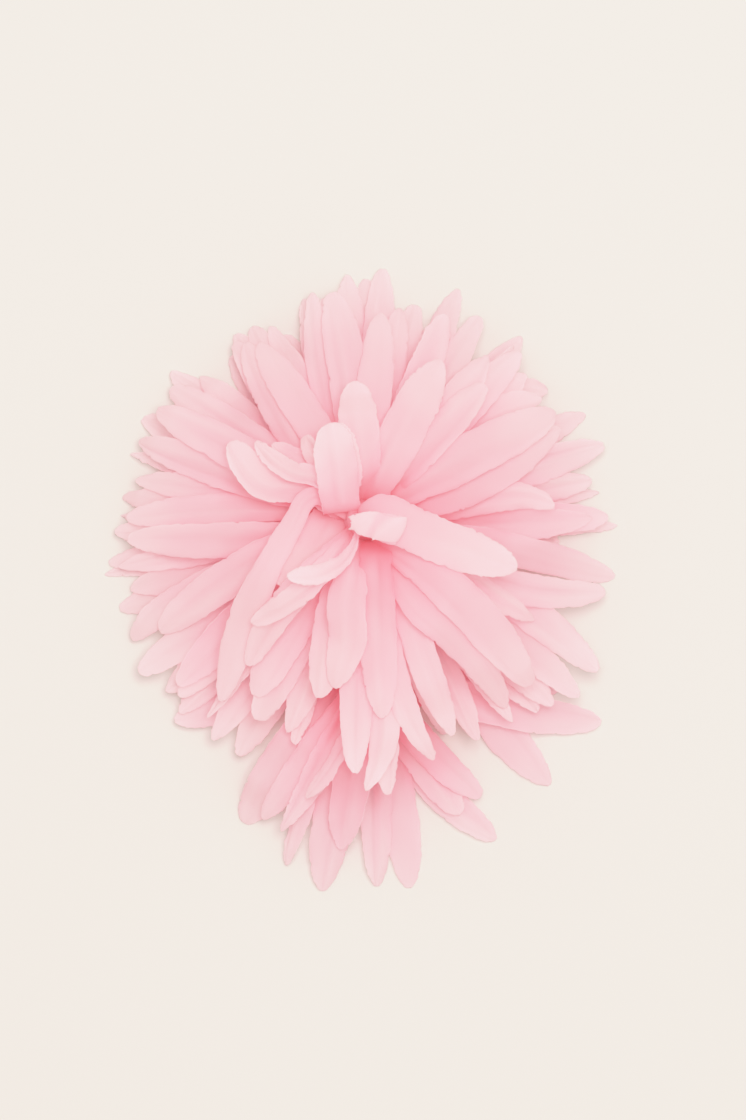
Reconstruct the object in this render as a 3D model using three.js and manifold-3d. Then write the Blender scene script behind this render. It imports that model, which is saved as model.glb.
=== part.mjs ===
// A fabric chrysanthemum flower head: stamped rounds of strap petals, threaded on a peg over a felt back.
// Millimetres, +Z up. The flower lies on its felt back, face up.
// While it is modelled, the peg of the main rounds is at x = y = 0. The last step moves the origin to the middle of
// the underside.
import * as THREE from 'three';
import { mergeVertices } from 'three/addons/utils/BufferGeometryUtils.js';
import Module from 'manifold-3d';

const wasm = await Module();
wasm.setup();

// Driving dimensions
const CLOTH = 0.6; // thickness of a petal blade
const GAP = 0.22; // clear space left between one blade and the next
const RING_THICK = 1.0; // thickness of a round's centre ring
const RING_GAP = 0.3; // clear space under a ring
const HOLE_R = 1.9; // radius of the hole in a ring
const PEG_R = 1.6; // radius of both pegs
const ROUND_SIDES = 16; // flat faces round a ring, a peg or an end of the felt
const FLANGE = { radius: 7, thick: 0.9 }; // foot of a peg
const FELT = { length: 74, width: 38, thick: 1.5, middle: [0.7, -16] }; // oval back, under both pegs
const SKIRT_HUB = [1.5, -34]; // where the skirt's rounds are threaded
const ROOT_INSET = 1.1; // how far a petal starts inside the edge of its ring
const ROOT_ZONE = 13; // past the ring's edge by this much, petals of one round may touch each other
const LIFT_SLOPE = 0.35; // how steeply a petal may climb over what lies under it
const FREE_ROOT = 0.4; // share of the first stretch that only the rings' own heights keep clear
const SHARE_MIN = 0.15; // a place counts for a section only if at least this share of the section's lift reaches it
const ROOT_CLEAR = 0.95; // height of a petal's middle over the petals of the round below, near their roots
const TWIST_EXTRA = 0.25; // more clear space under a turned petal
const FULLNESS = 1.06; // petals are this much wider than the part of them that shows
const BUMP_COST = 0.4; // what a millimetre of bump counts against a petal lying a millimetre lower
const SEED = 20240611; // of the random numbers by which petals differ
const HOLE_MARGIN = 0.5; // a ring rests on what lies this far inside its hole
const SEARCH_STEP = 1; // spacing of the places at which a petal is tried against the pile
const FILL_STEP = 0.35; // spacing of the places at which a laid petal raises the pile
const LINE_POINTS = 48; // straight steps in the plan line of a petal
const SLOPE_STEPS = 64; // steps over which the slope of a petal adds up to its height
const LIFT_SWEEPS = 3; // times that the lifts of a petal are lowered in turn
const FULL_STEEP = 0.3; // smallest cosine of a slope by which clear space is divided
const TWIST_TURN = 0.35; // share of the length over which a twisted petal turns
const CURL_FROM = 0.7; // share of the length at which a tip starts to bend
const CROWN_IN = 0.3; // share of the length over which a petal takes on its crown
const ROUND_TIP = { shoulder: 0.62, power: 2.6 }; // where a round tip begins, and how blunt it is
const SHARP_TIP = { shoulder: 0.45, power: 1.5 }; // the same for a pointed tip
const TIP_END = 1.02; // share of the length at which a tip would close
const ROSE_FROM = 10; // rounds from here on are stamped from rose cloth, those below from blush
const HIDDEN = { reach: 53, width: 9, jitter: 4, gapFrom: 232, gapTo: 308 }; // the lowest petals, which others
// cover; there are none towards the skirt, between these two directions

// Where a petal's cross-sections stand, as shares of its length from root to tip
const STATIONS = [0, 0.12, 0.28, 0.5, 0.74, 0.91, 1];

// The arches that are tried for a petal: its last slope in degrees, and the share of its length that bends
const ARCHES = [-32, -27, -22, -17, -12, -8, -4, 0, 5, 10].flatMap((last) => (
  [0.22, 0.32, 0.45].map((bend) => [last, bend])
));

// Each petal of the main rounds: name, tip x, tip y, direction at its root in degrees, width, then what is special:
// root: [x, y] where it starts, via: points it passes, lead: how far it keeps its first direction, cup: crown of the
// section (minus for a boat), twist: turn about its own line in degrees, from turnAt on, curl: how the tip bends up
// or down in degrees, foot: width at the root as a share, full: share of the length at which it has its full width,
// sharp: a pointed tip, pitch: its own first slope.
// Rows run from the lowest petal to the highest.
const ROUNDS = [
  { ring: 9.6, pitch: 4, hidden: 9, turn: 10, petals: [] },
  {
    ring: 9.4, pitch: 7, hidden: 9, turn: 30,
    petals: [
      ['L10', -60.5, 1.2, 179, 7, { sharp: 1 }],
      ['E8', 64, -1.2, -1, 7, { sharp: 1 }],
    ],
  },
  {
    ring: 9.2, pitch: 11,
    petals: [
      ['U2', 0.7, 60.5, 90, 8, {}],
      ['E6', 59.5, 7, 7, 7, { sharp: 1 }],
      ['L26', -31, -59, 244, 9, {}],
      ['L24', -45.5, -48.5, 227, 7.5, {}],
      ['L17', -60.7, -22.5, 200, 8, {}],
      ['L15', -64.5, -13.7, 192, 6.5, { sharp: 1 }],
      ['L3b', -48, 37, 143, 8, {}],
      ['C0', 40, 46, 48, 8, {}],
      ['S0', 50, -30, -32, 8, {}],
    ],
  },
  {
    ring: 9, pitch: 15,
    petals: [
      ['U1', -3.7, 61.5, 93.5, 8, {}],
      ['U10', -31.5, 46.7, 124, 8, {}],
      ['C3', 13.2, 54, 76, 8, {}],
      ['C12', 46.5, 32.5, 38, 8, { via: [[29, 26.5], [39.5, 32.5]] }],
      ['E5', 57.5, 10, 10, 8, {}],
      ['S9', 44, -48, -47, 8, {}],
      ['L25', -37.5, -55, 236, 8, {}],
      ['L21', -49, -43, 221, 8, {}],
      ['L13', -63.5, -10.7, 190, 7, {}],
    ],
  },
  {
    ring: 8.8, pitch: 19,
    petals: [
      ['U6', -14.5, 55.5, 112, 6, { lead: 0.4 }],
      ['U9', -27.5, 48.5, 119.5, 8, {}],
      ['L1', -40.5, 36, 138, 7, {}],
      ['L4', -55, 25.5, 155, 8, {}],
      ['L12', -62, -3, 183, 7.5, {}],
      ['L20', -56, -38, 214, 8.5, {}],
      ['L23', -46, -44, 224, 7.5, {}],
      ['L25b', -38.7, -49.5, 232, 5, { twist: 50, turnAt: 0.4 }],
      ['S8', 47.7, -46.5, -44, 8, {}],
      ['E3', 56, 26.7, 25, 7.5, {}],
      ['E9', 61.7, 0.7, 0, 8, { cup: -0.3 }],
      ['C8', 38, 43.7, 49, 5, { twist: 45, turnAt: 0.4 }],
      ['C14', 41, 36.5, 42, 7, {}],
    ],
  },
  {
    ring: 8.5, pitch: 24,
    petals: [
      ['U3', 5.2, 63, 84, 7.5, {}],
      ['U7', -10, 55.5, 100, 6, {}],
      ['U11', -32, 44.5, 126, 8, {}],
      ['C5', 24.2, 58, 67, 7.5, {}],
      ['C13', 45, 30, 38, 7.5, { via: [[23, 20.5], [35, 28]] }],
      ['E4', 60.5, 18.7, 17, 8.7, {}],
      ['S7', 54.5, -44, -36, 8, { cup: -0.25 }],
      ['L8', -60, 5.7, 174, 7.5, {}],
      ['L6', -58, 16.5, 162, 7.5, { sharp: 1, cup: -0.2 }],
      ['L16', -58, -17.5, 197, 8, {}],
      ['T3', 3.5, -58.7, 270, 5, {}],
      ['T4', 6.5, -68.5, 278, 7, {}],
      ['V1', -17, -56, 253, 5, {}],
    ],
  },
  {
    ring: 8.1, pitch: 29,
    petals: [
      ['C7', 29.5, 51, 60, 7.5, {}],
      ['L7', -56.7, 10, 166, 7, {}],
      ['L2', -48, 33, 145, 9.5, {}],
      ['U8', -23, 48.5, 113, 7, {}],
      ['Q3', -18.5, -53, 253, 8, {}],
      ['R6', 29, -55, -58, 7, {}],
      ['S12', 37.7, -50.5, -50, 6, {}],
      ['S6', 59.2, -37.5, -22, 8.7, {}],
      ['S5', 57.5, 0.5, -6, 7.5, { cup: -0.3 }],
      ['L14', -61, -11.7, 191, 6.5, {}],
      ['T2', 1, -67.5, 280, 7.5, { via: [[5.7, -50]], cup: 0.35 }],
    ],
  },
  {
    ring: 7.6, pitch: 34,
    petals: [
      ['L9', -59, 0.5, 170, 7, {}],
      ['S4', 63.5, -14, -10, 8, {}],
      ['C2', 9.7, 53, 80, 7.5, {}],
      ['U5', -12.5, 57, 110, 7, {}],
      ['R5', 20.7, -53.7, -69, 6, {}],
      ['C6', 21, 51.5, 67, 8, {}],
      ['C9', 39.5, 42, 47, 8, {}],
      ['E7', 48.2, 3.7, 2, 7, { via: [[37, 6]] }],
      ['L22', -45.8, -41.6, 215, 9, { cup: -0.3 }],
      ['L18', -57.7, -30, 200, 8, { via: [[-45.5, -20]] }],
      ['L5', -56, 19.5, 160, 8.7, {}],
      ['T1', -1.7, -63, 268, 8, {}],
    ],
  },
  {
    ring: 7, pitch: 39,
    petals: [
      ['E2', 49.7, 23, 10, 9, { via: [[14.5, 3], [32, 11]] }],
      ['U4', -7.5, 57, 92, 9.7, {}],
      ['S3', 61, -18, -30, 8, { via: [[27, -13], [44.5, -18]] }],
      ['U12', -29, 44.5, 133, 8.7, {}],
      ['L11', -58.7, -5, 188, 8.4, { via: [[-22, -4.2], [-40, -5.2]] }],
      ['Q1', -26, -50, 240, 9, {}],
      ['R4', 18, -59.7, -80, 6.6, { via: [[9.4, -43]] }],
      ['L3', -51.2, 27.7, 151, 9, {}],
      ['C10', 31.5, 41, 52, 8, {}],
    ],
  },
  {
    ring: 6.4, pitch: 45,
    petals: [
      ['C1', 5, 51.7, 85, 8.7, {}],
      ['E1', 48.5, 26.7, 33, 10.5, { via: [[27, 16]] }],
      ['C11', 30.5, 34, 48, 8, {}],
      ['U13', -26, 44, 115, 8.5, {}],
      ['Q2', -26.5, -44, 234, 9.5, {}],
      ['L19', -50.5, -28, 195, 9, {}],
      ['S2', 43, -25, -30, 6, { pitch: 22 }],
      ['Q4', -10.7, -44.3, 256, 8.4, { via: [[-6.4, -20], [-8.3, -31]] }],
      ['R3', 22.5, -53.7, -82, 7.4, { via: [[8.6, -10], [12.4, -25], [16, -37.3]], foot: 0.3, pitch: 35 }],
      ['R7', 35.8, -47, -60, 7.6, { via: [[12.6, -20], [21, -27.5], [29.3, -36]], pitch: 35 }],
    ],
  },
  {
    ring: 5.8, pitch: 50,
    petals: [
      ['A6', -33, 19.3, 168, 8.5, { via: [[-14, 7.8], [-24.5, 9.6]] }],
      ['S1', 42.2, -41.2, -48, 10, { via: [[8.4, -7.6], [20.6, -16.2], [32, -28]], foot: 0.5 }],
      ['R2', 5, -49.4, -89, 8.8, { root: [3.4, -5.1], foot: 0.84 }],
      ['C4', 19.7, 40, 66, 10.5, { foot: 0.6 }],
      ['R1', -6.4, -42, 262, 9.2, { via: [[-3.9, -20], [-3.7, -30]] }],
      ['A4', -2, 34.5, 92, 9.6, { root: [0, 5.1], foot: 0.85 }],
      ['A8', -21.6, -15.4, 250, 9.5, { root: [-7.8, 1.3], foot: 0.9, lead: 0.4 }],
    ],
  },
  {
    ring: 4.4, pitch: 56,
    petals: [
      ['A5b', -22.3, 18.9, 140, 4.6, { via: [[-9.6, 9.4], [-15.6, 15]], cup: -0.3, foot: 0.5 }],
      ['A3b', -14.4, 20.8, 130, 4.8, { via: [[-10.6, 13.5]], curl: -40, foot: 0.5 }],
      ['A5', -26.6, 19.4, 145, 4.8, {
        via: [[-10.4, 10.2], [-17.2, 11.9], [-22, 14.8]],
        cup: -0.4,
        foot: 0.4,
      }],
      ['P1', -35.5, -45.2, 150, 8.2, {
        via: [[-10.4, 5.9], [-14.4, 4.4], [-16.6, 0], [-22.4, -10], [-28.6, -23.5]],
        foot: 0.5,
        full: 0.8,
        cup: 0.3,
        pitch: 24,
      }],
      ['P1b', -28.4, -36.4, 228, 7.2, { via: [[-13.5, -14.5], [-22.8, -26]] }],
      ['A10', -27.4, -25.8, 228, 5.5, { via: [[-14, -17]], cup: 0.3 }],
      ['A3w', -6, 23.9, 92, 6.6, { root: [-2.8, 3.4] }],
    ],
  },
  {
    ring: 3.8, pitch: 63,
    petals: [
      ['D', 38.6, -11.8, -11, 10.6, {
        root: [-1.2, 1.3],
        via: [[5.4, 0.9], [12.5, -2.2], [21, -6]],
        foot: 0.35,
        full: 0.2,
      }],
      ['A9', -18.6, -14, 250, 5.4, {
        via: [[-2.4, -7], [-5.6, -10.9], [-11.6, -13.6]],
        foot: 0.25,
        full: 0.85,
      }],
      ['A3', -7.9, 24, 97, 10, { root: [-5, 1.9], foot: 0.88 }],
    ],
  },
];

// The curled petal over the heart: it climbs from the top ring, leans over the broad petal on the right and folds
// back. Each row is a cross-section: its upper and its lower edge as [x, y, height above the top ring].
const HOOD = [
  [[-2.6, 1.4, -0.5], [-2.2, -2.6, -0.5]],
  [[-0.8, 1.8, 3], [0.2, -3.6, 2.8]],
  [[2.4, 2, 6], [3.4, -4.8, 5.8]],
  [[6.2, 1.6, 7.8], [6.8, -6.2, 7.4]],
  [[9.6, 1, 8.6], [8.6, -6, 8.2]],
  [[11.4, 0.2, 9.4], [8.8, -5.6, 8.9]],
  [[10.6, 0.6, 10.3], [7.4, -5.8, 9.6]],
  [[8.5, 0.7, 10.7], [3, -4.9, 10.1]],
  [[3.9, 1.9, 9.6], [2, -4.5, 9.2]],
  [[0.6, 1.7, 10], [-0.6, -3.9, 9.5]],
  [[-2.5, 1, 9.2], [-2.3, -2.4, 8.9]],
];
const HOOD_CROWN = 0.5; // how far the middle of its cross-sections stands out, from the third section on

const SKIRT_ROUNDS = [
  {
    ring: 7, pitch: 3,
    petals: [
      ['F10', 33.7, -80, -70, 8, { via: [[17, -65.5]] }],
      ['F1', 12, -92.2, -76, 8.5, {}],
      ['F2', 3.5, -91.8, -85, 7.5, {}],
      ['F3', -10, -93, -104, 10, {}],
      ['F4', -19, -86.5, -122, 5.5, { twist: 40, lead: 0.35 }],
      ['G1', -45, -44, 190, 9, {}],
      ['G2', 50, -42, -8, 9, {}],
    ],
  },
  {
    ring: 7, pitch: 7,
    petals: [
      ['F5', -29.5, -76, -132, 10.5, {}],
      ['F7', -24.8, -75, -118, 7, {}],
      ['F11', 24.7, -73.7, -68, 8, {}],
      ['F13', 47, -66.5, -17, 9.5, { via: [[27, -40], [36, -54]] }],
      ['G3', -47, -50, 200, 9, {}],
    ],
  },
  {
    ring: 7, pitch: 11,
    petals: [
      ['F6', -20.2, -78, -108, 7.5, { sharp: 1 }],
      ['F9', -5.5, -82.5, -96, 9, { cup: -0.3 }],
      ['F12', 29.7, -69.5, -65, 7.5, {}],
      ['F8', -14, -69.5, -95, 5, { twist: 40 }],
      ['F14', 60, -50.5, -28, 9, { cup: -0.3, curl: 14 }],
    ],
  },
];

// Colours of the finished flower
const BLUSH = 0xf6c3cd;
const ROSE = 0xef96a8;
const FELT_PINK = 0xeaa0ae;
const PEG_WHITE = 0xf2e9e6;

const radians = THREE.MathUtils.degToRad;
const smooth = (x) => THREE.MathUtils.smoothstep(x, 0, 1);

// A seeded random number from 0 to 1
function randomFrom(seed) {
  let state = seed;
  return () => {
    state = (state + 0x6d2b79f5) | 0;
    let t = Math.imul(state ^ (state >>> 15), 1 | state);
    t = (t + Math.imul(t ^ (t >>> 7), 61 | t)) ^ t;
    return ((t ^ (t >>> 14)) >>> 0) / 4294967296;
  };
}

// A height map of all that is laid so far: the top of the pile over each half millimetre of the ground plan
class Pile {
  static CELL = 0.5;
  static LOW = [-75, -105];
  static COLUMNS = 300;
  static ROWS = 360;

  constructor() {
    this.top = new Float32Array(Pile.COLUMNS * Pile.ROWS);
  }

  cell(x, y) {
    const column = Math.round((x - Pile.LOW[0]) / Pile.CELL);
    const row = Math.round((y - Pile.LOW[1]) / Pile.CELL);
    return [column, row];
  }

  // The highest point within one cell of a place
  heightAt(x, y) {
    const [column, row] = this.cell(x, y);
    let high = 0;
    for (let r = row - 1; r <= row + 1; r += 1) {
      for (let c = column - 1; c <= column + 1; c += 1) {
        high = Math.max(high, this.top[r * Pile.COLUMNS + c]);
      }
    }
    return high;
  }

  raise(x, y, z) {
    const [column, row] = this.cell(x, y);
    const index = row * Pile.COLUMNS + column;
    this.top[index] = Math.max(this.top[index], z);
  }

  // Visits the places of a ring round a centre
  static overRing(centre, inner, outer, visit) {
    for (let x = -outer; x <= outer; x += Pile.CELL) {
      for (let y = -outer; y <= outer; y += Pile.CELL) {
        const r = Math.hypot(x, y);
        if (r >= inner && r <= outer) {
          visit(centre[0] + x, centre[1] + y);
        }
      }
    }
  }
}

// The plan line of a petal: through its root, the points it passes and its tip; without such points it is a
// quadratic Bezier curve that leaves the root in the petal's direction.
function planLine(root, petal, heading, hub) {
  const tip = new THREE.Vector2(petal.tip[0], petal.tip[1]);
  const start = new THREE.Vector2(root[0], root[1]);
  if (petal.via) {
    const passed = petal.via.map(([x, y]) => new THREE.Vector2(x, y));
    return new THREE.SplineCurve([start, ...passed, tip]).getPoints(LINE_POINTS);
  }
  const reach = petal.lead * tip.distanceTo(new THREE.Vector2(hub[0], hub[1]));
  const bend = new THREE.Vector2(
    hub[0] + reach * Math.cos(heading),
    hub[1] + reach * Math.sin(heading),
  );
  if (petal.root) {
    bend.set(start.x + reach * Math.cos(heading), start.y + reach * Math.sin(heading));
  }
  return new THREE.QuadraticBezierCurve(start, bend, tip).getPoints(LINE_POINTS);
}

// Place and direction at a share of the length of a plan line
function alongLine(points, lengths, share) {
  const want = share * lengths[lengths.length - 1];
  let i = 1;
  while (i < lengths.length - 1 && lengths[i] < want) {
    i += 1;
  }
  const part = (want - lengths[i - 1]) / (lengths[i] - lengths[i - 1]);
  const at = points[i - 1].clone().lerp(points[i], part);
  const direction = points[i].clone().sub(points[i - 1]).normalize();
  return { at, direction };
}

// Share of the full width at a share u of the length: narrow at the foot, widest past the middle, a rounded tip
function widthShare(u, petal) {
  const body = petal.foot + (1 - petal.foot) * smooth(u / petal.full);
  const { shoulder, power } = petal.sharp ? SHARP_TIP : ROUND_TIP;
  if (u <= shoulder) {
    return body;
  }
  const t = (u - shoulder) / (TIP_END - shoulder);
  return body * Math.sqrt(1 - t ** power);
}

// Cross-sections of a petal whose slope falls from its first to its last value over the share bend of its length
function sectionsOf(petal, line, height, last, bend) {
  const lengths = [0];
  for (let i = 1; i < line.length; i += 1) {
    lengths.push(lengths[i - 1] + line[i].distanceTo(line[i - 1]));
  }
  const slopeAt = (u) => radians(
    petal.pitch + (last - petal.pitch) * smooth(u / bend) 
      + petal.curl * smooth((u - CURL_FROM) / (1 - CURL_FROM)),
  );
  const run = [0];
  const rise = [0];
  for (let i = 1; i <= SLOPE_STEPS; i += 1) {
    const slope = slopeAt((i - 0.5) / SLOPE_STEPS);
    run.push(run[i - 1] + Math.cos(slope) / SLOPE_STEPS);
    rise.push(rise[i - 1] + Math.sin(slope) / SLOPE_STEPS);
  }
  const trueLength = lengths[lengths.length - 1] / run[SLOPE_STEPS];
  return STATIONS.map((u) => {
    const i = Math.min(Math.floor(u * SLOPE_STEPS), SLOPE_STEPS - 1);
    const part = u * SLOPE_STEPS - i;
    const share = (run[i] + part * (run[i + 1] - run[i])) / run[SLOPE_STEPS];
    const { at, direction } = alongLine(line, lengths, share);
    const slope = slopeAt(u);
    const side = new THREE.Vector3(-direction.y, direction.x, 0);
    const up = new THREE.Vector3(
      -direction.x * Math.sin(slope),
      -direction.y * Math.sin(slope),
      Math.cos(slope),
    );
    const twist = radians(petal.twist) * smooth((u - petal.turnAt) / TWIST_TURN);
    const half = (petal.width / 2) * FULLNESS * widthShare(u, petal);
    return {
      middle: new THREE.Vector3(at.x, at.y, height + trueLength * (rise[i] + part * (rise[i + 1] - rise[i]))),
      across: side.clone().multiplyScalar(Math.cos(twist)).addScaledVector(up, Math.sin(twist)),
      normal: up.clone().multiplyScalar(Math.cos(twist)).addScaledVector(side, -Math.sin(twist)),
      half,
      crown: petal.cup * half * smooth(u / CROWN_IN),
      steep: 1 / Math.max(FULL_STEEP, Math.cos(slope)),
    };
  });
}

// The three points of a section's middle surface: one edge, the crown and the other edge
function threePoints(section) {
  const { middle, across, normal, half, crown } = section;
  return [-1, 0, 1].map((side) => middle.clone()
    .addScaledVector(across, side * half)
    .addScaledVector(normal, side === 0 ? crown / 2 : -crown / 2));
}

// Visits places of a petal's surface, spaced by step: the place, the section before it, the share passed on the way
// to the next section, and how much a vertical distance grows there because the petal is steep
function overSurface(sections, step, visit) {
  const rows = sections.map(threePoints);
  const point = new THREE.Vector3();
  const a = new THREE.Vector3();
  const b = new THREE.Vector3();
  for (let i = 0; i < rows.length - 1; i += 1) {
    const along = Math.max(2, Math.ceil(rows[i][1].distanceTo(rows[i + 1][1]) / step));
    const wide = Math.max(sections[i].half, sections[i + 1].half);
    const over = Math.max(2, Math.ceil(wide / step));
    for (let m = 0; m <= along; m += 1) {
      const t = m / along;
      const steep = sections[i].steep * (1 - t) + sections[i + 1].steep * t;
      for (let n = 0; n <= 2 * over; n += 1) {
        const side = n < over ? 0 : 1;
        const s = n / over - side;
        a.lerpVectors(rows[i][side], rows[i][side + 1], s);
        b.lerpVectors(rows[i + 1][side], rows[i + 1][side + 1], s);
        visit(point.lerpVectors(a, b, t), i, t, steep);
      }
    }
  }
}

// How far each section must rise to clear the pile, when the petal runs straight from one section to the next. It
// starts from lifts that are surely enough, one for each section from the places nearer to it, and lowers them in
// turn as far as every place allows. Then no section stays steeply below its neighbour. The root stays on its ring.
function liftsOver(pile, sections, extra) {
  const places = sections.map(() => []);
  overSurface(sections, SEARCH_STEP, (point, i, t, steep) => {
    if (i > 0 || t >= FREE_ROOT) {
      const clear = Math.max((CLOTH / 2 + GAP + extra) * steep, i === 0 ? ROOT_CLEAR : 0);
      const need = pile.heightAt(point.x, point.y) + clear - point.z;
      places[i].push({ neighbour: i + 1, own: 1 - t, need });
      places[i + 1].push({ neighbour: i, own: t, need });
    }
  });
  const lifts = places.map((list) => Math.max(0, ...list.map(({ need }) => need)));
  lifts[0] = 0;
  for (let sweep = 0; sweep < LIFT_SWEEPS; sweep += 1) {
    for (let i = 1; i < lifts.length; i += 1) {
      lifts[i] = places[i].reduce((least, { neighbour, own, need }) => (
        own < SHARE_MIN ? least : Math.max(least, (need - lifts[neighbour] * (1 - own)) / own)
      ), 0);
    }
  }
  const away = (i, j) => sections[i].middle.distanceTo(sections[j].middle);
  return lifts.map((own, i) => (
    i === 0 ? 0 : Math.max(...lifts.slice(1).map((lift, j) => lift - LIFT_SLOPE * away(i, j + 1)), 0)
  ));
}

// Lays a petal on the pile: of many arches it takes the one that lies lowest and smoothest
function layPetal(pile, petal, line, height) {
  const extra = petal.twist ? TWIST_EXTRA : 0;
  let best = null;
  ARCHES.forEach(([last, bend]) => {
    const sections = sectionsOf(petal, line, height, last, bend);
    const lifts = liftsOver(pile, sections, extra);
    const mean = sections.reduce((sum, section, i) => sum + section.middle.z + lifts[i], 0) / sections.length;
    const bumps = lifts.slice(2).reduce((sum, lift, i) => sum + Math.abs(lift - lifts[i + 1]), 0);
    const cost = mean + BUMP_COST * bumps;
    if (!best || cost < best.cost) {
      best = { sections, lifts, cost };
    }
  });
  return best;
}

// A closed blade round a list of sections, with its triangles split alike on both faces
function bladeGeometry(sections) {
  const rows = sections.map((section) => threePoints(section).map((point) => [
    point.clone().addScaledVector(section.normal, CLOTH / 2),
    point.clone().addScaledVector(section.normal, -CLOTH / 2),
  ]));
  const corners = [];
  const quad = (a, b, c, d) => corners.push(a, b, c, a, c, d);
  for (let i = 0; i < rows.length - 1; i += 1) {
    const [here, next] = [rows[i], rows[i + 1]];
    for (let side = 0; side < 2; side += 1) {
      quad(here[side][0], next[side][0], next[side + 1][0], here[side + 1][0]);
      corners.push(here[side][1], next[side + 1][1], next[side][1]);
      corners.push(here[side][1], here[side + 1][1], next[side + 1][1]);
    }
    quad(here[0][0], here[0][1], next[0][1], next[0][0]);
    quad(here[2][1], here[2][0], next[2][0], next[2][1]);
  }
  const [first, end] = [rows[0], rows[rows.length - 1]];
  for (let side = 0; side < 2; side += 1) {
    quad(first[side][0], first[side + 1][0], first[side + 1][1], first[side][1]);
    quad(end[side][0], end[side][1], end[side + 1][1], end[side + 1][0]);
  }
  const geometry = new THREE.BufferGeometry();
  const numbers = corners.flatMap((corner) => [corner.x, corner.y, corner.z]);
  return geometry.setAttribute('position', new THREE.Float32BufferAttribute(numbers, 3));
}

// A flat ring with a square section
function ringGeometry(centre, inner, outer, low, high) {
  const profile = [[inner, low], [outer, low], [outer, high], [inner, high], [inner, low]];
  const geometry = new THREE.LatheGeometry(profile.map(([r, z]) => new THREE.Vector2(r, z)), ROUND_SIDES);
  return geometry.rotateX(Math.PI / 2).translate(centre[0], centre[1], 0);
}

// A closed geometry as a solid that can be joined and cut
function solidFrom(geometry) {
  const bare = geometry.clone();
  bare.deleteAttribute('normal');
  bare.deleteAttribute('uv');
  const merged = mergeVertices(bare, 1e-4);
  return new wasm.Manifold(new wasm.Mesh({
    numProp: 3,
    vertProperties: new Float32Array(merged.attributes.position.array),
    triVerts: new Uint32Array(merged.index.array),
  }));
}

// Fills closed pockets between petals that touch: their shells are the ones with a negative volume
function withoutPockets(solid) {
  return solid.decompose().filter((shell) => shell.volume() > 0).reduce((joined, shell) => joined.add(shell));
}

function geometryFrom(solid) {
  const mesh = solid.getMesh();
  const geometry = new THREE.BufferGeometry();
  geometry.setAttribute('position', new THREE.Float32BufferAttribute(mesh.vertProperties, 3));
  geometry.setIndex(new THREE.Uint32BufferAttribute(mesh.triVerts, 1));
  geometry.computeVertexNormals();
  return geometry;
}

const flower = new THREE.Group();

function addNode(name, geometry, color, roughness = 0.85) {
  const material = new THREE.MeshStandardMaterial({ color, roughness, metalness: 0 });
  const mesh = new THREE.Mesh(geometry, material);
  mesh.name = name;
  flower.add(mesh);
  return mesh;
}

// The petals of a round as complete descriptions, the hidden ones first
function petalsOf(round, hub, random) {
  const hidden = [];
  for (let i = 0; i < (round.hidden ?? 0); i += 1) {
    const angle = round.turn + (i * 360) / round.hidden + (random() - 0.5) * 2 * HIDDEN.jitter;
    const reach = HIDDEN.reach * (0.94 + 0.06 * random());
    if (angle < HIDDEN.gapFrom || angle > HIDDEN.gapTo) {
      hidden.push([
        `low_${i}`, reach * Math.cos(radians(angle)), reach * Math.sin(radians(angle)), angle, HIDDEN.width, {},
      ]);
    }
  }
  return [...hidden, ...round.petals].map(([name, x, y, heading, width, special]) => ({
    name,
    tip: [x, y],
    heading,
    width,
    lead: 0.5,
    cup: 0.08 + 0.1 * random(),
    twist: 0,
    curl: -8 + 14 * random(),
    foot: 0.38,
    full: 0.45,
    turnAt: 0.1,
    pitch: round.pitch,
    ...special,
  }));
}

// One stamped round: its ring and its petals, laid on the pile and fused
function makeRound(name, round, hub, pile, random) {
  let base = RING_GAP;
  Pile.overRing(hub, HOLE_R - HOLE_MARGIN, round.ring, (x, y) => {
    base = Math.max(base, pile.heightAt(x, y) + RING_GAP);
  });
  const petals = petalsOf(round, hub, random);
  const lines = petals.map((petal) => {
    const heading = radians(petal.heading);
    const r = round.ring - ROOT_INSET;
    const root = petal.root ?? [hub[0] + r * Math.cos(heading), hub[1] + r * Math.sin(heading)];
    return planLine(root, petal, heading, hub);
  });
  const under = new Pile();
  under.top.set(pile.top);
  let solid = solidFrom(ringGeometry(hub, HOLE_R, round.ring, base, base + RING_THICK));
  const laid = [];
  petals.forEach((petal, i) => {
    const laidPetal = layPetal(under, petal, lines[i], base + RING_THICK / 2);
    const { sections } = laidPetal;
    sections.slice(1).forEach((section, j) => {
      section.middle.z += laidPetal.lifts[j + 1];
    });
    overSurface(sections, FILL_STEP, (point, at, share, steep) => {
      const z = point.z + (CLOTH / 2) * steep;
      pile.raise(point.x, point.y, z);
      if (Math.hypot(point.x - hub[0], point.y - hub[1]) > round.ring + ROOT_ZONE) {
        under.raise(point.x, point.y, z);
      }
    });
    laid.push(solidFrom(bladeGeometry(sections)));
  });
  laid.forEach((blade) => {
    solid = solid.add(blade);
  });
  solid = withoutPockets(solid);
  Pile.overRing(hub, 0, round.ring, (x, y) => pile.raise(x, y, base + RING_THICK));
  return { name, solid, top: base + RING_THICK };
}

// The curled hood as one more blade of the top round
function hoodBlade(ringTop) {
  const edges = HOOD.map((row) => row.map(([x, y, z]) => new THREE.Vector3(x, y, ringTop + z)));
  const middles = edges.map(([upper, lower]) => upper.clone().lerp(lower, 0.5));
  const sections = edges.map(([upper, lower], i) => {
    const before = middles[Math.max(0, i - 1)];
    const after = middles[Math.min(middles.length - 1, i + 1)];
    const across = upper.clone().sub(lower);
    const half = across.length() / 2;
    across.normalize();
    return {
      middle: middles[i],
      across,
      normal: after.clone().sub(before).cross(across).normalize(),
      half,
      crown: HOOD_CROWN * smooth(i / 2),
      steep: 1,
    };
  });
  return solidFrom(bladeGeometry(sections));
}

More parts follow.
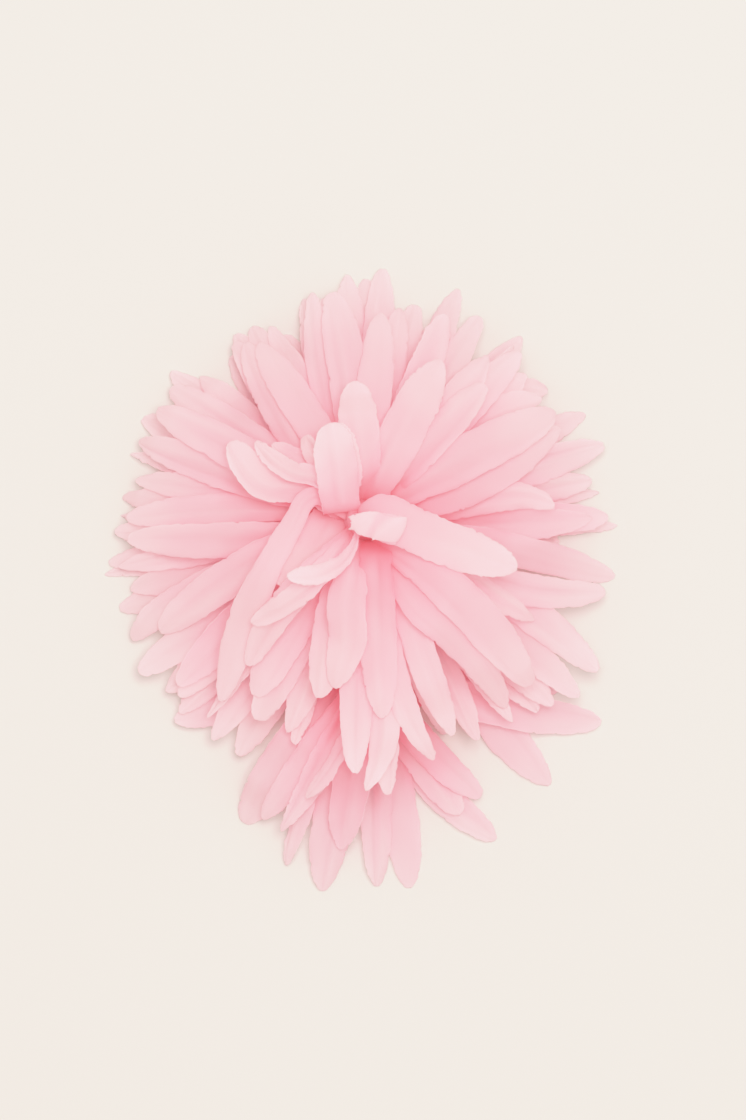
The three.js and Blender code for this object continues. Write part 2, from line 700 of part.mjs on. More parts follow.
// A peg with a round foot
function pegGeometry(centre, foot, top) {
  const profile = [
    [0, foot], [FLANGE.radius, foot], [FLANGE.radius, foot + FLANGE.thick], [PEG_R, foot + FLANGE.thick],
    [PEG_R, top], [0, top],
  ];
  const geometry = new THREE.LatheGeometry(profile.map(([r, z]) => new THREE.Vector2(r, z)), ROUND_SIDES);
  return geometry.rotateX(Math.PI / 2).translate(centre[0], centre[1], 0);
}

// The oval felt back
function feltGeometry() {
  const outline = new THREE.Shape();
  const half = FELT.width / 2;
  const straight = FELT.length / 2 - half;
  outline.absarc(0, straight, half, 0, Math.PI, false);
  outline.absarc(0, -straight, half, Math.PI, 2 * Math.PI, false);
  outline.closePath();
  const geometry = new THREE.ExtrudeGeometry(outline, {
    depth: FELT.thick, bevelEnabled: false, curveSegments: ROUND_SIDES,
  });
  return geometry.translate(FELT.middle[0], FELT.middle[1], 0);
}

const random = randomFrom(SEED);
const pile = new Pile();
const felt = solidFrom(feltGeometry());
addNode('backing_felt', geometryFrom(felt), FELT_PINK, 0.95);
const feltPlan = { half: FELT.width / 2, straight: FELT.length / 2 - FELT.width / 2 };
for (let x = -feltPlan.half; x <= feltPlan.half; x += Pile.CELL) {
  for (let y = -FELT.length / 2; y <= FELT.length / 2; y += Pile.CELL) {
    const past = Math.max(0, Math.abs(y) - feltPlan.straight);
    if (Math.hypot(x, past) <= feltPlan.half) {
      pile.raise(FELT.middle[0] + x, FELT.middle[1] + y, FELT.thick);
    }
  }
}

const foot = FELT.thick + RING_GAP;
[[0, 0], SKIRT_HUB].forEach((centre) => {
  Pile.overRing(centre, 0, FLANGE.radius, (x, y) => pile.raise(x, y, foot + FLANGE.thick));
});

const skirt = SKIRT_ROUNDS.map((round, i) => makeRound(`skirt_layer_${i + 1}`, round, SKIRT_HUB, pile, random));
const main = ROUNDS.map((round, i) => (
  makeRound(`petal_layer_${String(i + 1).padStart(2, '0')}`, round, [0, 0], pile, random)
));
const heart = main[main.length - 1];
heart.solid = withoutPockets(heart.solid.add(hoodBlade(heart.top)));

skirt.forEach(({ name, solid }) => addNode(name, geometryFrom(solid), BLUSH));
main.forEach(({ name, solid }, i) => addNode(name, geometryFrom(solid), i < ROSE_FROM ? BLUSH : ROSE));
addNode('skirt_peg', pegGeometry(SKIRT_HUB, foot, skirt[skirt.length - 1].top), PEG_WHITE, 0.4);
addNode('centre_post', pegGeometry([0, 0], foot, heart.top - RING_THICK - GAP), PEG_WHITE, 0.4);

// The origin moves to the middle of the underside.
const box = new THREE.Box3().setFromObject(flower);
flower.children.forEach((mesh) => {
  mesh.position.set(-(box.min.x + box.max.x) / 2, -(box.min.y + box.max.y) / 2, -box.min.z);
});

export default flower;
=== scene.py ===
# %% [markdown]
# A fabric chrysanthemum lies face up on a pale table, seen from straight above. It is a made flower: rounds
# of pink cloth straps, stamped out, heat-shaped and threaded on a peg, with a felt pad behind. This notebook
# builds every petal as a surface worked out from a small table of real sizes, lays the petals on one another
# from the lowest to the highest, and gives the cloth its colour, weave and frayed edges.

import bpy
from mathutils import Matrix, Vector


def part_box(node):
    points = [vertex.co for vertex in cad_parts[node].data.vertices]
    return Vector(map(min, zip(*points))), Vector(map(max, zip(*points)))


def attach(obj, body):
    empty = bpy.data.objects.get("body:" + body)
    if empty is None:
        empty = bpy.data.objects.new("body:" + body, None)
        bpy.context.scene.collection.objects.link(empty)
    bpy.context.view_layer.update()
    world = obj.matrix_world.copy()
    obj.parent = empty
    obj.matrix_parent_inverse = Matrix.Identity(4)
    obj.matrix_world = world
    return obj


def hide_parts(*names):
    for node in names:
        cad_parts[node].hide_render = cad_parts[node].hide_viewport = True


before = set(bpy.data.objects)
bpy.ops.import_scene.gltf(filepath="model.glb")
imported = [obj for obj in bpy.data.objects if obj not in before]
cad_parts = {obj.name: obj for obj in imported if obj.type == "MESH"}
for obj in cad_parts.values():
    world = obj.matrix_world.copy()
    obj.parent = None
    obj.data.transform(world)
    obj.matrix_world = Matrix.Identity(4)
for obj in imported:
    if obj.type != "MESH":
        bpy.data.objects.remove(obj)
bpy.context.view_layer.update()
print("CAD nodes:", len(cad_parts))

# %% [markdown]
# All sizes below are millimetres in a frame whose zero is the peg of the main rounds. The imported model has
# its zero under the middle of the whole flower, so the place of that peg in it is asked for once and added
# when a mesh is stored in metres.

import bpy
import numpy as np
from mathutils import Vector

MM = 0.001


def middle_of(node):
    """Half way between the lowest and highest x and y of a CAD node, in millimetres."""
    low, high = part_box(node)
    return np.array([(low[axis] + high[axis]) / 2 / MM for axis in range(2)])


ORIGIN = middle_of("centre_post")
MAIN_HUB = np.zeros(2)
SKIRT_HUB = middle_of("skirt_peg") - ORIGIN
print("main peg at", ORIGIN.round(2), "skirt peg from it at", SKIRT_HUB.round(2))

# %% [markdown]
# Each petal is one row: its name, where its tip ends, the direction in which it leaves its ring, its width,
# and what is special about it. `via` are points it passes, `root` a start of its own, `lead` how far it runs
# on before it bends. `cup` is the crown of its cross-section (minus makes a boat), `twist` a turn about its
# own line that begins at `turnAt`, `curl` a bend of the tip and `pitch` its own slope at the root. `foot` is
# the width at the root as a share, `full` the place where it is widest, `sharp` a pointed tip and `tips` the
# shape of the tip on either side. `tone` is paler with plus and pinker with minus. A table like this is how a
# florist would describe the flower, and it keeps every petal where the real one lies. A random scatter would
# look alike but would not be this flower.

# %% The petals of the main rounds, lowest round first
ROUNDS = [
    dict(ring=9.6, pitch=4, hidden=9, turn=10, petals=[]),
    dict(ring=9.4, pitch=7, hidden=9, turn=30, petals=[
        ("L10", -60.5, 1.2, 179, 7, dict(sharp=True)),
        ("E8", 64, -1.2, -1, 7, dict(sharp=True)),
    ]),
    dict(ring=9.2, pitch=11, petals=[
        ("U2", 0.7, 60.5, 90, 8, dict()),
        ("E6", 59.5, 7, 7, 7, dict(sharp=True)),
        ("L26", -31, -59, 244, 9, dict()),
        ("L24", -45.5, -48.5, 227, 7.5, dict()),
        ("L17", -60.7, -22.5, 200, 8, dict()),
        ("L15", -64.5, -13.7, 192, 6.5, dict(sharp=True)),
        ("L3b", -48, 37, 143, 8, dict()),
        ("C0", 40, 46, 48, 8, dict()),
        ("S0", 50, -30, -32, 8, dict()),
    ]),
    dict(ring=9, pitch=15, petals=[
        ("U1", -3.7, 61.5, 93.5, 8, dict()),
        ("U10", -31.5, 46.7, 124, 8, dict()),
        ("C3", 13.2, 54, 76, 8, dict()),
        ("C12", 46.5, 32.5, 38, 8, dict(via=[(29, 26.5), (39.5, 32.5)])),
        ("E5", 57.5, 10, 10, 8, dict()),
        ("S9", 44, -48, -47, 8, dict()),
        ("L25", -37.5, -55, 236, 8, dict()),
        ("L21", -49, -43, 221, 8, dict()),
        ("L13", -63.5, -10.7, 190, 7, dict()),
    ]),
    dict(ring=8.8, pitch=19, petals=[
        ("U6", -14.5, 55.5, 112, 6, dict(lead=0.4)),
        ("U9", -27.5, 48.5, 119.5, 8, dict()),
        ("L1", -40.5, 36, 138, 7, dict()),
        ("L4", -55, 25.5, 155, 8, dict()),
        ("L12", -62, -3, 183, 7.5, dict()),
        ("L20", -56, -38, 214, 8.5, dict()),
        ("L23", -46, -44, 224, 7.5, dict()),
        ("L25b", -38.7, -49.5, 232, 5, dict(twist=50, turnAt=0.4)),
        ("S8", 47.7, -46.5, -44, 8, dict()),
        ("E3", 56, 26.7, 25, 7.5, dict()),
        ("E9", 61.7, 0.7, 0, 8, dict(cup=-0.3, tone=-2)),
        ("C8", 38, 43.7, 49, 5, dict(twist=45, turnAt=0.4)),
        ("C14", 41, 36.5, 42, 7, dict()),
    ]),
    dict(ring=8.5, pitch=24, petals=[
        ("U3", 5.2, 63, 84, 7.5, dict()),
        ("U7", -10, 55.5, 100, 6, dict()),
        ("U11", -32, 44.5, 126, 8, dict()),
        ("C5", 24.2, 58, 67, 7.5, dict()),
        ("C13", 45, 30, 38, 7.5, dict(via=[(23, 20.5), (35, 28)])),
        ("E4", 60.5, 18.7, 17, 8.7, dict()),
        ("S7", 54.5, -44, -36, 8, dict(cup=-0.25)),
        ("L8", -60, 5.7, 174, 7.5, dict()),
        ("L6", -58, 16.5, 162, 7.5, dict(sharp=True, cup=-0.2)),
        ("L16", -58, -17.5, 197, 8, dict()),
        ("T3", 3.5, -58.7, 270, 5, dict()),
        ("T4", 6.5, -68.5, 278, 7, dict()),
        ("V1", -17, -56, 253, 5, dict()),
    ]),
    dict(ring=8.1, pitch=29, petals=[
        ("C7", 29.5, 51, 60, 7.5, dict()),
        ("L7", -56.7, 10, 166, 7, dict()),
        ("L2", -48, 33, 145, 9.5, dict()),
        ("U8", -23, 48.5, 113, 7, dict()),
        ("Q3", -18.5, -53, 253, 8, dict()),
        ("R6", 29, -55, -58, 7, dict()),
        ("S12", 37.7, -50.5, -50, 6, dict()),
        ("S6", 59.2, -37.5, -22, 8.7, dict()),
        ("S5", 57.5, 0.5, -6, 7.5, dict(cup=-0.3, tone=-1.5)),
        ("L14", -61, -11.7, 191, 6.5, dict()),
        ("T2", 1, -67.5, 280, 7.5, dict(via=[(5.7, -50)], cup=0.35)),
    ]),
    dict(ring=7.6, pitch=34, petals=[
        ("L9", -59, 0.5, 170, 7, dict()),
        ("S4", 63.5, -14, -10, 8, dict()),
        ("C2", 9.7, 53, 80, 7.5, dict()),
        ("U5", -12.5, 57, 110, 7, dict()),
        ("R5", 20.7, -53.7, -69, 6, dict()),
        ("C6", 21, 51.5, 67, 8, dict()),
        ("C9", 39.5, 42, 47, 8, dict()),
        ("E7", 48.2, 3.7, 2, 7, dict(via=[(37, 6)])),
        ("L22", -45.8, -41.6, 215, 9, dict(cup=-0.3, tone=-2.5)),
        ("L18", -57.7, -30, 200, 8, dict(via=[(-45.5, -20)])),
        ("L5", -56, 19.5, 160, 8.7, dict()),
        ("T1", -1.7, -63, 268, 8, dict()),
    ]),
    dict(ring=7, pitch=39, petals=[
        ("E2", 49.7, 23, 10, 9, dict(via=[(14.5, 3), (32, 11)])),
        ("U4", -7.5, 57, 92, 9.7, dict()),
        ("S3", 61, -18, -30, 8, dict(via=[(27, -13), (44.5, -18)])),
        ("U12", -29, 44.5, 133, 8.7, dict()),
        ("L11", -58.7, -5, 188, 8.4, dict(via=[(-22, -4.2), (-40, -5.2)])),
        ("Q1", -26, -50, 240, 9, dict()),
        ("R4", 18, -59.7, -80, 6.6, dict(via=[(9.4, -43)])),
        ("L3", -51.2, 27.7, 151, 9, dict()),
        ("C10", 31.5, 41, 52, 8, dict()),
    ]),
    dict(ring=6.4, pitch=45, petals=[
        ("C1", 5, 51.7, 85, 8.7, dict()),
        ("E1", 48.5, 26.7, 33, 10.5, dict(via=[(27, 16)])),
        ("C11", 30.5, 34, 48, 8, dict()),
        ("U13", -26, 44, 115, 8.5, dict()),
        ("Q2", -26.5, -44, 234, 9.5, dict(tone=-0.8)),
        ("L19", -50.5, -28, 195, 9, dict()),
        ("S2", 43, -25, -30, 6, dict(pitch=22)),
        ("Q4", -10.7, -44.3, 256, 8.4, dict(via=[(-6.4, -20), (-8.3, -31)])),
        ("R3", 22.5, -53.7, -82, 7.4, dict(
            via=[(8.6, -10), (12.4, -25), (16, -37.3)], foot=0.3, pitch=35)),
        ("R7", 35.8, -47, -60, 7.6, dict(via=[(12.6, -20), (21, -27.5), (29.3, -36)], pitch=35)),
    ]),
    dict(ring=5.8, pitch=50, petals=[
        ("A6", -33, 19.3, 168, 8.5, dict(via=[(-14, 7.8), (-24.5, 9.6)], tone=1.5)),
        ("S1", 42.2, -41.2, -48, 10, dict(via=[(8.4, -7.6), (20.6, -16.2), (32, -28)], foot=0.5)),
        ("R2", 5, -49.4, -89, 8.8, dict(root=(3.4, -5.1), foot=0.84, tone=-1.2)),
        ("C4", 19.7, 40, 66, 10.5, dict(foot=0.6, tone=0.8)),
        ("R1", -6.4, -42, 262, 9.2, dict(via=[(-3.9, -20), (-3.7, -30)], tips=(0.4, 0.8), tone=0.8)),
        ("A4", -2, 34.5, 92, 9.6, dict(root=(0, 5.1), foot=0.85, tone=1.2)),
        ("A8", -21.6, -15.4, 250, 9.5, dict(root=(-7.8, 1.3), foot=0.9, lead=0.4, tone=2.5)),
    ]),
    dict(ring=4.4, pitch=56, petals=[
        ("A5b", -22.3, 18.9, 140, 4.6, dict(via=[(-9.6, 9.4), (-15.6, 15)], cup=-0.3, foot=0.5, tone=-2)),
        ("A3b", -14.4, 20.8, 130, 4.8, dict(via=[(-10.6, 13.5)], curl=-40, foot=0.5, tone=1.5)),
        ("A5", -26.6, 19.4, 145, 4.8, dict(
            via=[(-10.4, 10.2), (-17.2, 11.9), (-22, 14.8)], cup=-0.4, foot=0.4, tone=2.2)),
        ("P1", -35.5, -45.2, 150, 8.2, dict(
            via=[(-10.4, 5.9), (-14.4, 4.4), (-16.6, 0), (-22.4, -10), (-28.6, -23.5)],
            foot=0.5, full=0.8, cup=0.3, pitch=24, tone=2.2)),
        ("P1b", -28.4, -36.4, 228, 7.2, dict(via=[(-13.5, -14.5), (-22.8, -26)], tone=1.2)),
        ("A10", -27.4, -25.8, 228, 5.5, dict(via=[(-14, -17)], cup=0.3, tone=2)),
        ("A3w", -6, 23.9, 92, 6.6, dict(root=(-2.8, 3.4), tone=2.4)),
    ]),
    dict(ring=3.8, pitch=63, petals=[
        ("D", 38.6, -11.8, -11, 10.6, dict(
            root=(-1.2, 1.3), via=[(5.4, 0.9), (12.5, -2.2), (21, -6)], foot=0.35, full=0.2, tone=1.2)),
        ("A9", -18.6, -14, 250, 5.4, dict(
            via=[(-2.4, -7), (-5.6, -10.9), (-11.6, -13.6)], foot=0.25, full=0.85, tone=2.4)),
        ("A3", -7.9, 24, 97, 10, dict(root=(-5, 1.9), foot=0.88, tips=(0.34, 0.5), tone=1)),
    ]),
]
print("main petals in the table:", sum(len(r["petals"]) for r in ROUNDS))

# %% [markdown]
# Below the main disc lies a skirt: three more stamped rounds on a peg of their own, fanned out and a little
# pinker than the rest, which is their `tone`. They could be longer petals of the main rounds, but their lines
# meet at a second point lower in the flower, so they get a table and a centre of their own.

# %% The petals of the skirt, on the second peg
SKIRT_ROUNDS = [
    dict(ring=7, pitch=3, tone=-1.3, petals=[
        ("F10", 33.7, -80, -70, 8, dict(via=[(17, -65.5)])),
        ("F1", 12, -92.2, -76, 8.5, dict()),
        ("F2", 3.5, -91.8, -85, 7.5, dict()),
        ("F3", -10, -93, -104, 10, dict()),
        ("F4", -19, -86.5, -122, 5.5, dict(twist=40, lead=0.35)),
        ("G1", -45, -44, 190, 9, dict()),
        ("G2", 50, -42, -8, 9, dict()),
    ]),
    dict(ring=7, pitch=7, tone=-1.3, petals=[
        ("F5", -29.5, -76, -132, 10.5, dict()),
        ("F7", -24.8, -75, -118, 7, dict()),
        ("F11", 24.7, -73.7, -68, 8, dict()),
        ("F13", 47, -66.5, -17, 9.5, dict(via=[(27, -40), (36, -54)])),
        ("G3", -47, -50, 200, 9, dict()),
    ]),
    dict(ring=7, pitch=11, tone=-1.3, petals=[
        ("F6", -20.2, -78, -108, 7.5, dict(sharp=True)),
        ("F9", -5.5, -82.5, -96, 9, dict(cup=-0.3, tone=-2)),
        ("F12", 29.7, -69.5, -65, 7.5, dict(tone=-2)),
        ("F8", -14, -69.5, -95, 5, dict(twist=40)),
        ("F14", 60, -50.5, -28, 9, dict(cup=-0.3, curl=14)),
    ]),
]
print("skirt petals in the table:", sum(len(r["petals"]) for r in SKIRT_ROUNDS))

# %% [markdown]
# The curled petal over the heart stands up from the top ring, leans over the broad petal on the right, folds
# back and shows its paler underside with a crease in it. A middle line can't say that, so it is lofted: each
# row below is one cross-section, with the place of its upper and its lower edge and their heights above the
# top ring.

# %% The curled petal over the heart
HOOD = [
    ((-2.6, 1.4, -0.5), (-2.2, -2.6, -0.5)),
    ((-0.8, 1.8, 3.0), (0.2, -3.6, 2.8)),
    ((2.4, 2.0, 6.0), (3.4, -4.8, 5.8)),
    ((6.2, 1.6, 7.8), (6.8, -6.2, 7.4)),
    ((9.6, 1.0, 8.6), (8.6, -6.0, 8.2)),
    ((11.4, 0.2, 9.4), (8.8, -5.6, 8.9)),
    ((10.6, 0.6, 10.3), (7.4, -5.8, 9.6)),
    ((8.5, 0.7, 10.7), (3.0, -4.9, 10.1)),
    ((3.9, 1.9, 9.6), (2.0, -4.5, 9.2)),
    ((0.6, 1.7, 10.0), (-0.6, -3.9, 9.5)),
    ((-2.5, 1.0, 9.2), (-2.3, -2.4, 8.9)),
]
HOOD_CROWN = 0.6
HOOD_ROWS = 101
HOOD_TONE = 2.2
# Painted shade along the hood's crease: a band of pinker tone where the fold turns.
HOOD_SHADE = dict(depth=5, at=0.79, drift=0.03, breadth=0.045)
# Painted shade over the lower side of the hood: its tone grows pinker from the middle towards the lower edge.
HOOD_LOWER_SHADE = dict(depth=0.5, start=0.2, over=0.6)
HOOD_FRAY = dict(sides=0.16, end=0.9)
HOOD_FLAT = dict(half=4, length=38, layer=5.0)
print("cross-sections of the hood:", len(HOOD))

# %% [markdown]
# The rules of the pile come next. `ROOM` is the height a petal takes up for the ones above it, `GAP` the
# clear space over it. They are larger than the thin cloth itself, which leaves room for its folds and crowns,
# so that a petal hardly cuts through its neighbour.

# %% Sizes that all petals share
ROOM = 0.4
GAP = 0.16
CLOTH = 0.2
RING_ROOM = 1.0
RING_GAP = 0.3
RING_HALF = 0.2
HOLE_RADIUS = 1.9
HOLE_MARGIN = 0.5
FLANGE = dict(radius=7, top=2.7)
FELT = dict(length=74, width=38, thick=1.5, middle=(0.7, -16))
ROOT_INSET = 1.1
ROOT_ZONE = 13
LIFT_SLOPE = 0.35
LIFT_SWEEPS = 3
NO_NEED = -1e3
LEAST_COSINE = 0.3
FREE_ROOT = 0.4
SHARE_MIN = 0.15
ROOT_CLEAR = 0.95
FULLNESS = 1.06
BUMP_COST = 0.4
CURL_FROM, CURL_OVER = 0.7, 0.3
ARCH_STEPS, FINE_STEPS = 64, 256
SEARCH_POINTS = (65, 11)
FILL_POINTS = (201, 31)
HIDDEN = dict(reach=53, width=9, jitter=4, gap=(232, 308))
STATIONS = np.array([0, 0.12, 0.28, 0.5, 0.74, 0.91, 1])
LAST_SLOPES = (-32, -27, -22, -17, -12, -8, -4, 0, 5, 10)
BENDS = (0.22, 0.32, 0.45)
ARCHES = np.array([(last, bend) for last in LAST_SLOPES for bend in BENDS])
print("arches tried for each petal:", len(ARCHES))

# %% [markdown]
# Petals of one kind still differ a little, as hand-shaped cloth does. The differences come from a small
# random generator with a fixed seed, so the flower is the same on every run.

# %% Small helpers: easing and seeded chance
SEED = 20240611


def smooth(x):
    """Eases from 0 to 1: three x squared minus two x cubed, with x held between 0 and 1."""
    x = np.clip(x, 0, 1)
    return x * x * (3 - 2 * x)


def chance_from(seed):
    """Mulberry32: a counter that grows by a fixed odd number, mixed by shifts and products of 32 bits."""
    state = seed

    def draw():
        nonlocal state
        state = (state + 0x6D2B79F5) & 0xFFFFFFFF
        t = ((state ^ (state >> 15)) * (1 | state)) & 0xFFFFFFFF
        t = ((t + (((t ^ (t >> 7)) * (61 | t)) & 0xFFFFFFFF)) & 0xFFFFFFFF) ^ t
        return ((t ^ (t >> 14)) & 0xFFFFFFFF) / 4294967296

    return draw


chance = chance_from(SEED)
detail = np.random.default_rng(SEED)


def circle_point(radius, degrees):
    """A point at an angle on a circle round zero."""
    return radius * np.array([np.cos(np.radians(degrees)), np.sin(np.radians(degrees))])


def manner():
    """The small ways in which one strap differs from the next: creases as (place across, breadth, height,
    drift), the roll of one edge, the waves of both, the lean of its section, the shape of each side of its
    tip, and its tone."""
    draw = detail.uniform
    creases = [
        (draw(-0.55, 0.55), draw(0.14, 0.3), way * draw(0.25, 0.65), draw(-0.3, 0.3))
        for way in (-1, 1, detail.choice([-1, 1]))
    ]
    return dict(
        creases=creases, roll=detail.choice([-1, 1]) * max(0, draw(-0.8, 1.1)),
        waves=[(draw(2.2, 4.2), detail.random()) for _ in range(2)], lean=draw(-11, 11),
        tips=(draw(0.4, 0.66), draw(0.4, 0.66)), tone=draw(-0.5, 0.5),
    )


def described(stamp):
    """The petals of a round as full descriptions. Hidden ones, which fill the round evenly, come first."""
    rows = []
    for i in range(stamp.get("hidden", 0)):
        angle = stamp["turn"] + i * 360 / stamp["hidden"] + (chance() - 0.5) * 2 * HIDDEN["jitter"]
        reach = HIDDEN["reach"] * (0.94 + 0.06 * chance())
        if not HIDDEN["gap"][0] <= angle <= HIDDEN["gap"][1]:
            rows.append((f"low_{i}", *circle_point(reach, angle), angle, HIDDEN["width"], {}))
    petals = []
    for _, x, y, heading, width, special in rows + stamp["petals"]:
        petal = dict(
            tip=np.array([x, y]), heading=heading, width=width, lead=0.5, cup=0.08 + 0.1 * chance(), twist=0,
            curl=-8 + 14 * chance(), foot=0.38, full=0.45, turnAt=0.1, pitch=stamp["pitch"], via=None,
            root=None, sharp=False, rough=0.2,
        )
        petal |= manner() | special
        petal["tone"] += stamp.get("tone", 0)
        petals.append(petal)
    return petals


print("first chance of a fresh generator:", round(chance_from(SEED)(), 4))

# %% [markdown]
# Seen from above, a petal's middle line is a plain curve. Most leave the ring in one direction and bend once
# on the way to the tip, which is a quadratic Bezier curve. A few pass given points, on a Catmull-Rom spline.

# %% The plan line of a petal


def through(knots, t):
    """A Catmull-Rom spline through knots, where knot k is passed at t = k: cubic pieces whose slope at a knot
    is half the step between the knots on either side."""
    last = len(knots) - 1
    i = np.minimum(t.astype(int), last - 1)
    w = (t - i)[:, None]
    a, b, c, d = (knots[np.clip(i + k, 0, last)] for k in (-1, 0, 1, 2))
    before, after = (c - a) / 2, (d - b) / 2
    cubic, square = 2 * b - 2 * c + before + after, 3 * c - 3 * b - 2 * before - after
    return cubic * w**3 + square * w**2 + before * w + b


def plan_line(petal, root, hub, count=129):
    """Points of the line: the spline through root, via and tip, or (1-t)^2 root + 2t(1-t) bend + t^2 tip."""
    t = np.linspace(0, 1, count)[:, None]
    if petal["via"]:
        knots = np.array([root, *petal["via"], petal["tip"]])
        return through(knots, t[:, 0] * (len(knots) - 1))
    reach = petal["lead"] * np.hypot(*(petal["tip"] - hub))
    start = root if petal["root"] else hub
    bend = start + circle_point(reach, petal["heading"])
    return (1 - t) ** 2 * root + 2 * t * (1 - t) * bend + t**2 * petal["tip"]


def along(line, share):
    """Places and unit directions at shares of the length of a line, by linear steps between its points."""
    steps = np.hypot(*np.diff(line, axis=0).T)
    length = np.concatenate([[0], np.cumsum(steps)])
    heading = np.gradient(line, length, axis=0)
    at = np.stack([np.interp(share * length[-1], length, line[:, k]) for k in (0, 1)], -1)
    way = np.stack([np.interp(share * length[-1], length, heading[:, k]) for k in (0, 1)], -1)
    return at, way / np.linalg.norm(way, axis=-1, keepdims=True), length[-1]


# %% [markdown]
# From the side a petal is an arch: it leaves the ring at its round's pitch, bends over within a share of its
# length, and its tip curls a little. Adding up the sines and cosines of the slope gives its height and its
# run.

# %% The arch and the width of a petal


def slope_at(petal, last, bend, u):
    """The slope at any share u of the length, in radians. It eases from the pitch to its last value over the
    share bend of the length, and turns by the curl over the last third."""
    turned = (last - petal["pitch"]) * smooth(u / bend)
    return np.radians(petal["pitch"] + turned + petal["curl"] * smooth((u - CURL_FROM) / CURL_OVER))


def arch(petal, last, bend, steps):
    """Share of the run and rise per unit of run at some equal steps, and the length per unit of run: running
    sums of the cosines and the sines of the slope, divided by the whole run."""
    slope = slope_at(petal, last, bend, (np.arange(steps) + 0.5) / steps)
    run = np.cumsum(np.cos(slope), -1) / steps
    rise = np.cumsum(np.sin(slope), -1) / steps
    zero = np.zeros(run.shape[:-1] + (1,))
    run, rise = np.concatenate([zero, run], -1), np.concatenate([zero, rise], -1)
    return run / run[..., -1:], rise / run[..., -1:], 1 / run[..., -1]


def width_share(petal, u, v):
    """Share of the full width, places along by places across. It eases from the foot to one before the middle,
    and past the shoulder it falls as (1 - t^power)^tip. Either side has its own tip, so the point is a little
    lopsided."""
    u, v = u[:, None], v[None, :]
    body = petal["foot"] + (1 - petal["foot"]) * smooth(u / petal["full"])
    shoulder, power, more = (0.45, 1.8, 1.3) if petal["sharp"] else (0.6, 2.4, 1)
    t = np.clip((u - shoulder) / (1.001 - shoulder), 0, 1)
    return body * (1 - t**power) ** (more * np.where(v < 0, *petal["tips"]))


def relief(petal, u, v):
    """How far the cloth stands off its smooth crown. A crease is a bell over the place across and drifts
    sideways along the petal. One rim rolls up as the square of its distance past the middle, and both rims
    wave as a sine."""
    u, v = u[:, None], v[None, :]
    grown = smooth(u / 0.22) * (1 - 0.5 * smooth((u - 0.8) / 0.2))
    side = np.sign(petal["roll"])
    off = abs(petal["roll"]) * np.clip((side * v - 0.2) / 0.8, 0, 1) ** 2 * smooth((u - 0.15) / 0.35)
    for where, wide, high, drift in petal["creases"]:
        off = off + high * np.exp(-np.abs((v - where - drift * (u - 0.5)) / wide) ** 1.4) * grown
    for side, (cycles, start) in zip((-1, 1), petal["waves"]):
        wave = np.sin(2 * np.pi * (u * cycles + start))
        off += 0.3 * wave * smooth((u - 0.2) / 0.3) * np.clip(side * v, 0, 1) ** 2
    return off


# %% [markdown]
# The surface itself joins both: its middle line follows plan and arch, and across it lies a crowned section.
# For the search, all arches are worked out at once as one array of arches by places along by places across.

# %% The surface of a petal


def frames(petal, line, base, last, bend, u, steps):
    """For arches and places u along: middle points, unit vectors forward, across and normal, and the true
    length. Up is forward turned a quarter in its own vertical plane, and the twist turns across towards up."""
    last, bend = np.atleast_1d(last)[:, None], np.atleast_1d(bend)[:, None]
    run, rise, stretch = arch(petal, last, bend, steps)
    grid = np.linspace(0, 1, steps + 1)
    share = np.stack([np.interp(u, grid, row) for row in run])
    height = np.stack([np.interp(u, grid, row) for row in rise])
    at, way, length = along(line, share)
    slope = slope_at(petal, last, bend, u)
    middle = np.concatenate([at, (base + length * height)[..., None]], -1)
    side = np.stack([-way[..., 1], way[..., 0], np.zeros_like(slope)], -1)
    up = np.stack([-way[..., 0] * np.sin(slope), -way[..., 1] * np.sin(slope), np.cos(slope)], -1)
    forward = np.stack([way[..., 0] * np.cos(slope), way[..., 1] * np.cos(slope), np.sin(slope)], -1)
    turned = petal["lean"] * smooth(u / 0.4) + petal["twist"] * smooth((u - petal["turnAt"]) / 0.35)
    twist = np.radians(turned)[None, :, None]
    across = side * np.cos(twist) + up * np.sin(twist)
    normal = up * np.cos(twist) - side * np.sin(twist)
    return middle, forward, across, normal, length * stretch, slope


def sheet_points(petal, middle, across, normal, u, v):
    """Points: middle + across * half width * v + normal * (crown * (1/2 - v squared) + relief)."""
    half = petal["width"] / 2 * FULLNESS * width_share(petal, u, v)
    bow = petal["cup"] * half * smooth(u / 0.3)[:, None] * (0.5 - v**2)
    bow += relief(petal, u, v) * np.minimum(1, half / 2)
    return middle[:, :, None] + across[:, :, None] * (half * v)[..., None] + normal[:, :, None] * bow[..., None]


# %% [markdown]
# The flower is a pile. A height map keeps the top of all that is laid so far, half a millimetre a cell. A new
# petal is lifted where it would cut into the pile, by lifts at seven stations along it. Of all arches, the
# one that lies lowest and smoothest is taken, much as cloth would settle.

# %% The height map


class Pile:
    """Heights of the top of the pile, over a grid of cells."""

    CELL = 0.5
    LOW = np.array([-75, -105])
    SHAPE = (300, 360)

    def __init__(self, top=None):
        self.top = np.zeros(self.SHAPE) if top is None else top.copy()
        self.widen()

    def widen(self):
        """The highest cell of each three by three."""
        framed = np.pad(self.top, 1)
        rows = np.maximum(np.maximum(framed[:-2], framed[1:-1]), framed[2:])
        self.wide = np.maximum(np.maximum(rows[:, :-2], rows[:, 1:-1]), rows[:, 2:])

    def cells(self, x, y):
        """Indices of the cells that places fall in."""
        low = self.LOW.reshape(2, *[1] * np.ndim(x))
        return tuple(np.floor((np.stack([x, y]) - low) / self.CELL + 0.5).astype(int))

    def height(self, x, y):
        """The top of the pile at places, as the highest cell beside each."""
        return self.wide[self.cells(x, y)]

    def raise_to(self, x, y, z):
        """Raises the cells that places fall in to z, where they are lower."""
        np.maximum.at(self.top, self.cells(x, y), z)


